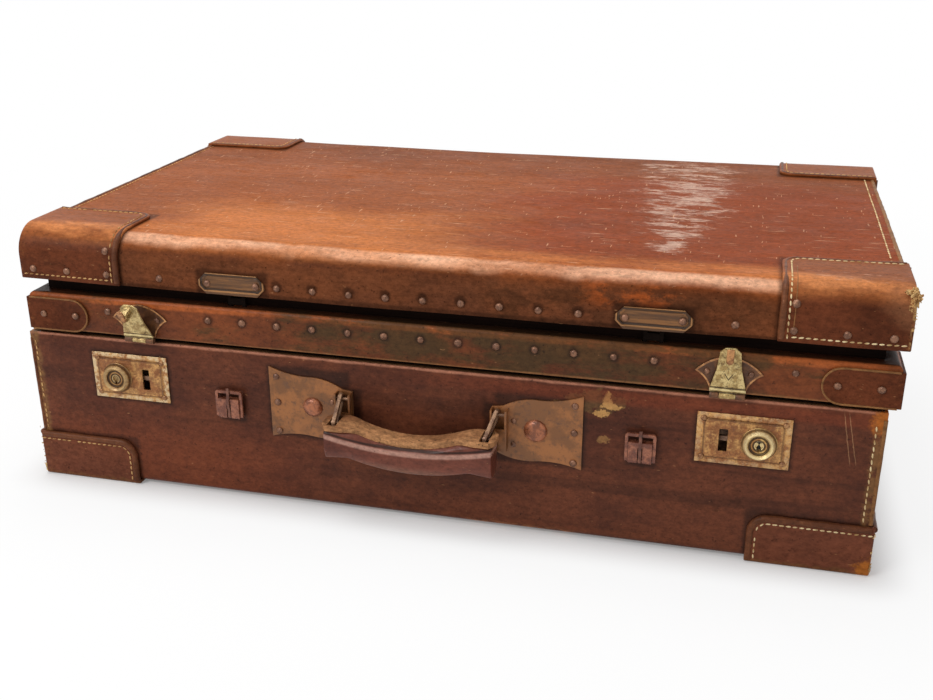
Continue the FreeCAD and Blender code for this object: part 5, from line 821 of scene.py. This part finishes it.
def worked_up(node, finish, width, step=None, field=None, rim=None):
    """A copy of a solid with broken edges, pressed, reshaped or cut into a grid where that is asked."""
    bm = merged_copy(node)
    if field:
        press_field(bm, *field)
    soften(bm, width)
    if step:
        slice_up(bm, step)
    if node in RESHAPED:
        RESHAPED[node](bm)
    second = ADDED_PARTS.get(node, rim)
    return finish_piece(bm, "made_" + node, finish, body_of(node), nodes=[node], rim=second)


# Node, finish, width of its broken edges in mm, and the step of its grid in mm.
COVERS = (
    ("shell_wrap", "lid", 0.5, 7.0),
    ("shell_end_left", "lid", 0.5, 9.0), ("shell_end_right", "lid", 0.5, 9.0),
    ("shell_board", "board", 0.3, 9.0), ("shell_lining", "cloth", 0.2, 9.0),
    ("lid_caps_front", "cap", 0.8, 5.0), ("lid_caps_back", "cap", 0.8, 6.0),
    ("base_wrap", "base", 0.6, 14.0),
    ("base_end_left", "base", 0.5, 14.0), ("base_end_right", "base", 0.5, 14.0),
    ("base_caps_front", "cap", 0.8, 8.0), ("base_caps_back", "cap", 0.8, 8.0),
    ("frame_leather", "band", 1.0, 14.0), ("grip", "grip", 0.7, None), ("grip_strap", "raw", 0.5, None),
)
METALWORK = (
    ("lock_plate_left", "rusty brass", 0.4), ("lock_plate_right", "rusty brass", 0.4),
    ("lock_knob_left", "knob brass", 0.2), ("lock_knob_right", "knob brass", 0.2),
    ("lock_bolt_left", "steel", 0.2), ("lock_bolt_right", "steel", 0.2),
    ("hasp_left", "pale brass", 0.25), ("hasp_right", "pale brass", 0.25),
    ("anchor_plates", "anchor", 0.25),
    ("handle_plate_left", "plate", 0.25), ("handle_plate_right", "plate", 0.25),
    ("hasp_pins", "steel", 0.1), ("handle_pins", "steel", 0.1),
    ("link_left", "steel", 0.1), ("link_right", "steel", 0.1), ("grip_pins", "steel", 0.1),
    ("buckle_chapes", "japan", 0.3),
    ("buckle_frame_left", "japan", 0.2), ("buckle_frame_right", "japan", 0.2),
    ("buckle_prong_left", "prong", 0.1), ("buckle_prong_right", "prong", 0.1),
    ("hinge_lower_leaves", "wing brass", 0.2), ("hinge_upper_leaves", "wing brass", 0.2),
    ("hinge_pins", "steel", 0.1),
)
# Node, finish, broken edges, (rim, depth and least area of a pressed field), and the rim's finish.
PRESSED = (
    ("hasp_plates", "wing brass", 0.2, (2.4, 0.4, 60.0), "rim brass"),
    ("frame_patches", "cap", 0.4, (3.0, 0.5, 300.0), "cap"),
)
# Node, girth and rise of a head against its solid's, and finish.
HEADS = (
    ("base_rivets", 1.08, 1.3, "rivet"), ("frame_rivets", 1.08, 1.3, "rivet"),
    ("shell_rivets", 1.08, 1.3, "rivet"), ("lock_rivets", 1.15, 1.5, "knob rivet"),
    ("handle_bosses", 1.0, 1.2, "copper"),
)
PLAIN = {
    "base_board": "board", "frame_board": "board", "base_rim": "wood", "frame_inner_wall": "wood",
    "base_lining": "cloth", "lock_cases": "steel", "lock_spring_left": "prong",
    "lock_spring_right": "prong", "racks": "gap steel", "catch_housings": "wing brass",
    "catch_bolt_front_left": "wing brass", "catch_bolt_front_right": "wing brass",
    "catch_bolt_back_left": "wing brass", "catch_bolt_back_right": "wing brass",
}


# ---------------------------------------------------------------------------------------------
# Rivet heads, welts, stitches and torn edges
# ---------------------------------------------------------------------------------------------
draw = random.Random(5)


def islands(bm):
    """The separate solids of a mesh, each as its points."""
    seen = set()
    for start in bm.verts:
        if start in seen:
            continue
        seen.add(start)
        reached = [start]
        for vertex in reached:
            for edge in vertex.link_edges:
                other = edge.other_vert(vertex)
                if other not in seen:
                    seen.add(other)
                    reached.append(other)
        yield [vertex.co for vertex in reached]


def add_head(bm, foot, out, spread, rise):
    """A round head, leaning a little, with its middle on the surface."""
    lean = Euler((draw.gauss(0, 0.06), draw.gauss(0, 0.06), 0.0)).to_matrix().to_4x4()
    turn = out.to_track_quat("Z", "Y").to_matrix().to_4x4() @ lean
    shape = Matrix.Diagonal((spread, spread, rise, 1))
    bmesh.ops.create_uvsphere(bm, u_segments=14, v_segments=8, radius=1.0,
                              matrix=Matrix.Translation(foot) @ turn @ shape)


def domed_heads(node, girth, rise, finish):
    """Round heads in place of a node's plain ones, each a little different from its neighbours."""
    solids = merged_copy(node)
    heads = bmesh.new()
    for points in islands(solids):
        low = Vector([min(p[n] for p in points) for n in range(3)])
        high = Vector([max(p[n] for p in points) for n in range(3)])
        middle, size = (low + high) / 2, high - low
        axis = min(range(3), key=size.__getitem__)
        out = Vector((0, 0, 0))
        out[axis] = 1.0 if middle[axis] > MIDDLE[axis] * MM else -1.0
        spread = max(size) / 2 * girth * draw.uniform(0.94, 1.06)
        add_head(heads, middle - out * size[axis] / 2, out, spread, rise * size[axis])
    solids.free()
    finish_piece(heads, "domed_" + node, finish, body_of(node), 60.0, [node])


def corner(start, heading, radius, turn, steps=6):
    """Points round a corner: from a start, along a heading, turning left (+) or right (-)."""
    side = Vector((-heading.y, heading.x)) * (1 if turn > 0 else -1)
    centre = start + side * radius
    arm = start - centre
    return [centre + Matrix.Rotation(turn * n / steps, 2) @ arm for n in range(1, steps + 1)]


def walk(points, pitch):
    """Places and headings every `pitch` mm along a line of points."""
    spare = pitch * 0.5
    for first, last in zip(points, points[1:]):
        run = last - first
        length = run.length
        while spare < length:
            yield first + run * (spare / length), run / length
            spare += pitch
        spare -= length


def sew(bm, line, surface, pitch=4.6, length=3.5, girth=1.25, missing=0.03):
    """Stitches along a line on a surface; surface(u, v) gives a place, its outward and both ways."""
    for spot, heading in walk(line, pitch):
        if draw.random() < missing:
            continue
        place, out, way_u, way_v = surface(spot.x, spot.y)
        along = (way_u * heading.x + way_v * heading.y).normalized()
        along = (Matrix.Rotation(draw.gauss(0.10, 0.05), 3, out) @ along).normalized()
        side = out.cross(along)
        turn = Matrix((side, out, along)).transposed().to_4x4()
        size = Vector((girth, girth * 0.8, length * draw.uniform(0.9, 1.08))) * 0.5 * MM
        bmesh.ops.create_uvsphere(
            bm, u_segments=7, v_segments=5, radius=1.0,
            matrix=Matrix.Translation((place + out * girth * 0.12) * MM) @ turn @ Matrix.Diagonal((*size, 1)))


def roll(bm, line, surface, girth, sunk, thin_above=None):
    """A rolled edge along a line on a surface, thinner past a height of the line where one is given."""
    curve = bpy.data.curves.new("roll", "CURVE")
    curve.dimensions = "3D"
    curve.bevel_depth = girth * 0.5 * MM
    curve.bevel_resolution = 3
    curve.use_fill_caps = True
    spots = [spot for spot, _ in walk(line, 2.5)]
    spline = curve.splines.new("POLY")
    spline.points.add(len(spots) - 1)
    for point, spot in zip(spline.points, spots):
        place, out, _, _ = surface(spot.x, spot.y)
        slack = noise.noise(place / 17.0) * 0.25
        point.co = (*((place + out * (slack - sunk)) * MM), 1.0)
        thin = 0.0 if thin_above is None else min(1.0, max(0.0, (spot.y - thin_above) / 12.0))
        point.radius = 1.0 + noise.noise(place / 9.0) * 0.16 - thin * 0.42
    tube = bpy.data.objects.new("roll", curve)
    mesh = bpy.data.meshes.new_from_object(tube)
    bm.from_mesh(mesh)
    bpy.data.objects.remove(tube)
    bpy.data.curves.remove(curve)
    bpy.data.meshes.remove(mesh)


def wall(axis, level, facing):
    """A flat side: y = level, seen from the front or back, or x = level, seen from an end."""
    def front(u, v):
        return Vector((u, level, v)), Vector((0, facing, 0)), Vector((1, 0, 0)), Vector((0, 0, 1))

    def end(u, v):
        return Vector((level, u, v)), Vector((facing, 0, 0)), Vector((0, 1, 0)), Vector((0, 0, 1))
    return front if axis == "y" else end


def lid_top(u, v):
    return Vector((u, v, LID_TOP)), Vector((0, 0, 1)), Vector((1, 0, 0)), Vector((0, 1, 0))


def lid_round(side, proud):
    """The lid's face, rounded edge and top as one surface: u along the case, v up and over."""
    radius = LID_ROUND + proud
    face = (FRONT - proud) if side < 0 else (BACK + proud)
    rise = LID_TOP - LID_ROUND
    bend = radius * math.pi / 2

    def surface(u, v):
        if v < rise:
            return Vector((u, face, v)), Vector((0, side, 0)), Vector((1, 0, 0)), Vector((0, 0, 1))
        angle = min(v - rise, bend) / radius
        out = Vector((0, side * math.cos(angle), math.sin(angle)))
        way = Vector((0, -side * math.sin(angle), math.cos(angle)))
        centre = Vector((u, face - side * radius, rise))
        return centre + out * radius + way * max(0.0, v - rise - bend), out, Vector((1, 0, 0)), way
    return surface


def cap_edge(inner, outer, low, high, radius):
    """Up a cap's inner edge, round its free corner and along its upper edge to the case's corner."""
    way = 1 if outer > inner else -1
    start = Vector((inner, high - radius))
    turned = corner(start, Vector((0, 1)), radius, -way * math.pi / 2)
    return [Vector((inner, low)), start] + turned + [Vector((outer, high))]


def sew_lid():
    cream, tan, welts, beads = bmesh.new(), bmesh.new(), bmesh.new(), bmesh.new()
    for side in (-1, 1):
        surface = lid_round(side, CAP)
        for inner, outer, way in ((LID_LEFT + LID_CAP, LID_LEFT, 1), (LID_RIGHT - LID_CAP, LID_RIGHT, -1)):
            thread = cream if side < 0 and way < 0 else tan
            seam = cap_edge(inner - way * SEAM, outer, LID_LOW + 4.0, LID_OVER - 4.5, 8.0)
            sew(thread, [Vector((outer, LID_LOW + 4.0))] + seam, surface)
            roll(welts, cap_edge(inner - way * WELT, outer - way * 1.5, LID_LOW + 1.0, LID_OVER - 1.6, 11.0),
                 surface, 4.8, 0.9, LID_TOP - LID_ROUND + 22.0)
        if side < 0:
            inner = LID_RIGHT - LID_CAP + SEAM + 3.6
            second = cap_edge(inner, LID_RIGHT, LID_LOW + 8.0, LID_OVER - 12.0, 8.0)
            roll(beads, second[:2], surface, 0.7, 0.1)
    ahead, behind = FRONT + LID_CAP_BACK + 1.0, BACK - LID_CAP_BACK - 1.0
    sides = ((LID_LEFT, 1, 5.5, tan, welts, 4.6, 3.3), (LID_RIGHT, -1, 8.0, cream, beads, 5.0, 4.0))
    for edge, way, inset, thread, rolls, pitch, length in sides:
        seam, brink = edge + way * inset, edge + way * 1.4
        sew(thread, [Vector((seam, ahead)), Vector((seam, behind))], lid_top, pitch, length)
        roll(rolls, [Vector((brink, ahead)), Vector((brink, behind))], lid_top, 3.4, 0.9)
        face = wall("x", edge - way * CAP, -way)
        for near, back_way in ((FRONT + LID_CAP_BACK, -1), (BACK - LID_CAP_BACK, 1)):
            seam, brink = near + back_way * SEAM, near + back_way * WELT
            sew(tan, [Vector((seam, LID_LOW + 14.0)), Vector((seam, LID_TOP - 6.0))], face)
            roll(welts, [Vector((brink, LID_LOW + 12.0)), Vector((brink, LID_TOP + 1.0))], face, 4.6, 0.9)
    finish_piece(cream, "lid_cream_stitches", "cream", "lid_shell")
    finish_piece(tan, "lid_tan_stitches", "tan", "lid_shell")
    finish_piece(welts, "lid_welts", "welt", "lid_shell", 60.0)
    finish_piece(beads, "lid_beads", "bead", "lid_shell", 60.0)


def rivet_cap_shoulders():
    """One more rivet on each front lid cap, where its face starts to turn over."""
    heads = bmesh.new()
    surface = lid_round(-1, CAP)
    for x in (-250.5, 255.5):
        place, out, _, _ = surface(x, 198.5)
        add_head(heads, place * MM, out, 2.9 * MM, 1.8 * MM)
    finish_piece(heads, "lid_cap_shoulder_rivets", "rivet", "lid_shell", 60.0)


def line_back_wall():
    """The tray's back wall gets the same cloth as its floor and its other walls, a little puckered."""
    walls = [v.co for v in frame["nodes"]["base_lining"].data.vertices]
    low = Vector([min(p[n] for p in walls) for n in range(3)])
    high = Vector([max(p[n] for p in walls) for n in range(3)])
    level = (BACK - WALL - SHEET * 0.5) * MM
    middle = Vector(((low.x + high.x) / 2, level, (low.z + high.z + SHEET * MM) / 2))
    size = (high.x - low.x - 2.1 * SHEET * MM, (SHEET - 0.1) * MM, high.z - low.z - 1.1 * SHEET * MM)
    cloth = bmesh.new()
    bmesh.ops.create_cube(cloth, size=1.0, matrix=Matrix.Translation(middle) @ Matrix.Diagonal((*size, 1)))
    slice_up(cloth, 9.0, "XZ")
    for vertex in cloth.verts:
        if vertex.co.y < level:
            vertex.co.y -= abs(noise.noise(vertex.co / (40.0 * MM))) * 0.8 * MM
    finish_piece(cloth, "base_back_lining", "cloth", "base")


def edge_patches():
    """A fine raised edge round the rounded patches at the frame's corners."""
    beads = bmesh.new()
    for level, facing in ((FRONT - 2.0, -1), (BACK + 2.0, 1)):
        for tip, way, end in ((-272.5, 1, LID_LEFT), (277.5, -1, LID_RIGHT)):
            start = Vector((tip - way * 13.0, BAND_LOW + 26.0))
            turned = corner(start, Vector((way, 0)), 13.0, -way * math.pi, 12)
            line = [Vector((end, start.y)), start] + turned + [Vector((end, BAND_LOW))]
            roll(beads, line, wall("y", level, facing), 1.5, 0.2)
    finish_piece(beads, "frame_patch_edges", "bead", "lid_frame", 60.0)


def sew_base():
    cream, tan, welts, beads = bmesh.new(), bmesh.new(), bmesh.new(), bmesh.new()
    faces = [(wall("y", FRONT - CAP, -1), LEFT, RIGHT, cream), (wall("y", BACK + CAP, 1), LEFT, RIGHT, tan),
             (wall("x", LEFT - CAP, -1), FRONT, BACK, tan), (wall("x", RIGHT + CAP, 1), FRONT, BACK, tan)]
    for surface, first, last, thread in faces:
        for edge, way in ((first, 1), (last, -1)):
            inner = edge + way * BASE_CAP
            seam = cap_edge(inner - way * SEAM, edge - way * 1.0, 3.0, BASE_CAP_TOP - SEAM, 8.0)
            sew(thread if way < 0 else tan, seam, surface)
            roll(welts, cap_edge(inner - way * WELT, edge - way * 1.0, 1.8, BASE_CAP_TOP - WELT, 11.7),
                 surface, 5.0, 0.9)
    for level, facing in ((FRONT, -1), (BACK, 1)):
        surface = wall("y", level, facing)
        sew(tan, [Vector((LEFT + 4.5, 41.0)), Vector((LEFT + 4.5, 121.0))], surface)
        sew(cream if facing < 0 else tan, [Vector((RIGHT - 6.5, 41.0)), Vector((RIGHT - 6.5, 117.0))],
            surface, 5.0, 4.0)
        for edge, way, rolls in ((LEFT, 1, welts), (RIGHT, -1, beads)):
            brink = edge + way * 1.2
            roll(rolls, [Vector((brink, BASE_CAP_TOP)), Vector((brink, 122.0))], surface, 3.2, 0.9)
    finish_piece(cream, "base_cream_stitches", "cream", "base")
    finish_piece(tan, "base_tan_stitches", "tan", "base")
    finish_piece(welts, "base_welts", "welt", "base", 60.0)
    finish_piece(beads, "base_beads", "bead", "base", 60.0)


def fray(bm, centre, spread, count, size):
    """Torn flakes and threads in a cloud round a place, flat or drawn out."""
    for _ in range(count):
        place = Vector([c + draw.gauss(0, s) for c, s in zip(centre, spread)])
        shape = Vector((draw.uniform(0.7, 2.2), draw.uniform(0.3, 1.1), draw.uniform(0.15, 0.4))) * size * MM
        turn = Euler([draw.uniform(0, math.tau) for _ in range(3)]).to_matrix().to_4x4()
        matrix = Matrix.Translation(place * MM) @ turn @ Matrix.Diagonal((*shape, 1))
        bmesh.ops.create_icosphere(bm, subdivisions=1, radius=1.0, matrix=matrix)


def tear_corners():
    lid, base = bmesh.new(), bmesh.new()
    fray(lid, (329.3, -179.0, 205.8), (0.9, 1.7, 1.9), 44, 1.7)
    fray(lid, (327.0, -176.0, 209.5), (2.2, 2.6, 0.8), 26, 1.5)
    fray(lid, (329.9, -184.0, 194.0), (0.2, 0.2, 4.0), 8, 0.6)
    for x in (LEFT - CAP, RIGHT + CAP):
        inward = 0.6 if x < 0 else -0.6
        fray(base, (x + inward, FRONT - CAP + 0.6, 7.5), (0.35, 0.35, 1.7), 14, 0.8)
        fray(base, (x + inward, FRONT - CAP + 0.6, 24.0), (0.3, 0.3, 7.0), 10, 0.6)
    finish_piece(lid, "lid_torn_corner", "shreds", "lid_shell", 30.0)
    finish_piece(base, "base_torn_edges", "shreds", "base", 30.0)


# ---------------------------------------------------------------------------------------------
# Floor, light and camera
# ---------------------------------------------------------------------------------------------
def put_in_scene(name, data):
    made = bpy.data.objects.new(name, data)
    bpy.context.scene.collection.objects.link(made)
    return made


def make_floor():
    """Pale paper that keeps the shadow near the case and turns to white further off."""
    bm = bmesh.new()
    bmesh.ops.create_grid(bm, x_segments=1, y_segments=1, size=6.0)
    mesh = bpy.data.meshes.new("studio_floor")
    bm.to_mesh(mesh)
    bm.free()
    f = Finish("studio_paper")
    f.tree.nodes.remove(f.shader)
    paper = f.node("BsdfDiffuse", {}, {"Color": (0.90, 0.90, 0.90, 1.0)})
    white = f.node("Emission", {}, {"Color": (1, 1, 1, 1), "Strength": 1.0})
    seen = f.node("LightPath", output="Is Camera Ray").upper(
        f.node("LightPath", output="Is Glossy Ray")).upper(f.node("LightPath", output="Is Transmission Ray"))
    beyond_x = (abs(f.x - MIDDLE.x) - 325.0).upper(0.0)
    beyond_y = (abs(f.y - MIDDLE.y) - 195.0).upper(0.0)
    away = distance(beyond_x, beyond_y)
    amount = f.fade(away, -12.0, 40.0) * 0.76 + f.fade(away, 60.0, 800.0) * 0.16 + 0.08
    both = f.node("MixShader", {}, {0: seen * amount, 1: paper, 2: white})
    f.tree.links.new(both.socket, f.tree.nodes["Material Output"].inputs["Surface"])
    mesh.materials.append(f.material)
    floor = put_in_scene("studio_floor", mesh)
    floor.location.z = CAD_BOX[0].z - 0.0002


def make_world():
    """An even room for the light, and white where it is looked at."""
    world = bpy.data.worlds.new("studio")
    bpy.context.scene.world = world
    world.use_nodes = True
    tree = world.node_tree
    room = tree.nodes["Background"]
    room.inputs["Color"].default_value = (1, 1, 1, 1)
    path = tree.nodes.new("ShaderNodeLightPath")
    seen = path.outputs["Is Camera Ray"]
    for ray in ("Is Glossy Ray", "Is Transmission Ray"):
        either = tree.nodes.new("ShaderNodeMath")
        either.operation = "MAXIMUM"
        tree.links.new(seen, either.inputs[0])
        tree.links.new(path.outputs[ray], either.inputs[1])
        seen = either.outputs[0]
    level = tree.nodes.new("ShaderNodeMapRange")
    level.inputs["To Min"].default_value = 0.42
    tree.links.new(seen, level.inputs["Value"])
    tree.links.new(level.outputs[0], room.inputs["Strength"])


def aim_at(thing, place, target, roll_by=0.0):
    thing.location = place
    look = (Vector(target) - Vector(place)).to_track_quat("-Z", "Y")
    thing.rotation_euler = (look.to_matrix() @ Matrix.Rotation(roll_by, 3, "Z")).to_euler()


def add_lamp(name, place, target, width, depth, power):
    light = bpy.data.lights.new(name, "AREA")
    light.shape = "RECTANGLE"
    light.size, light.size_y, light.energy = width, depth, power
    aim_at(put_in_scene(name, light), place, target)


def add_camera():
    lens = bpy.data.cameras.new("camera")
    lens.lens = 43.67
    lens.sensor_width = 36.0
    camera = put_in_scene("camera", lens)
    aim_at(camera, (0.21656, -0.91551, 0.44454), (-0.0135, -0.001789, 0.070), math.radians(-0.10))
    bpy.context.scene.camera = camera


for node, finish, width, step in COVERS:
    worked_up(node, finish, width, step)
for node, finish, width in METALWORK:
    worked_up(node, finish, width)
for node, finish, width, field, rim in PRESSED:
    worked_up(node, finish, width, None, field, rim)
for node, finish in PLAIN.items():
    mesh = frame["nodes"][node].data
    mesh.materials.clear()
    mesh.materials.append(FINISHES[finish])
for node, girth, rise, finish in HEADS:
    domed_heads(node, girth, rise, finish)
sew_lid()
sew_base()
edge_patches()
rivet_cap_shoulders()
line_back_wall()
tear_corners()
make_floor()
make_world()
add_lamp("overhead_softbox", (-0.25, 0.25, 1.9), (0, 0, 0.1), 1.6, 1.2, 23.0)
add_lamp("front_softbox", (-1.1, -1.5, 1.5), (0, 0, 0.1), 0.8, 0.6, 17.0)
add_camera()
bpy.context.scene.view_settings.view_transform = "Standard"
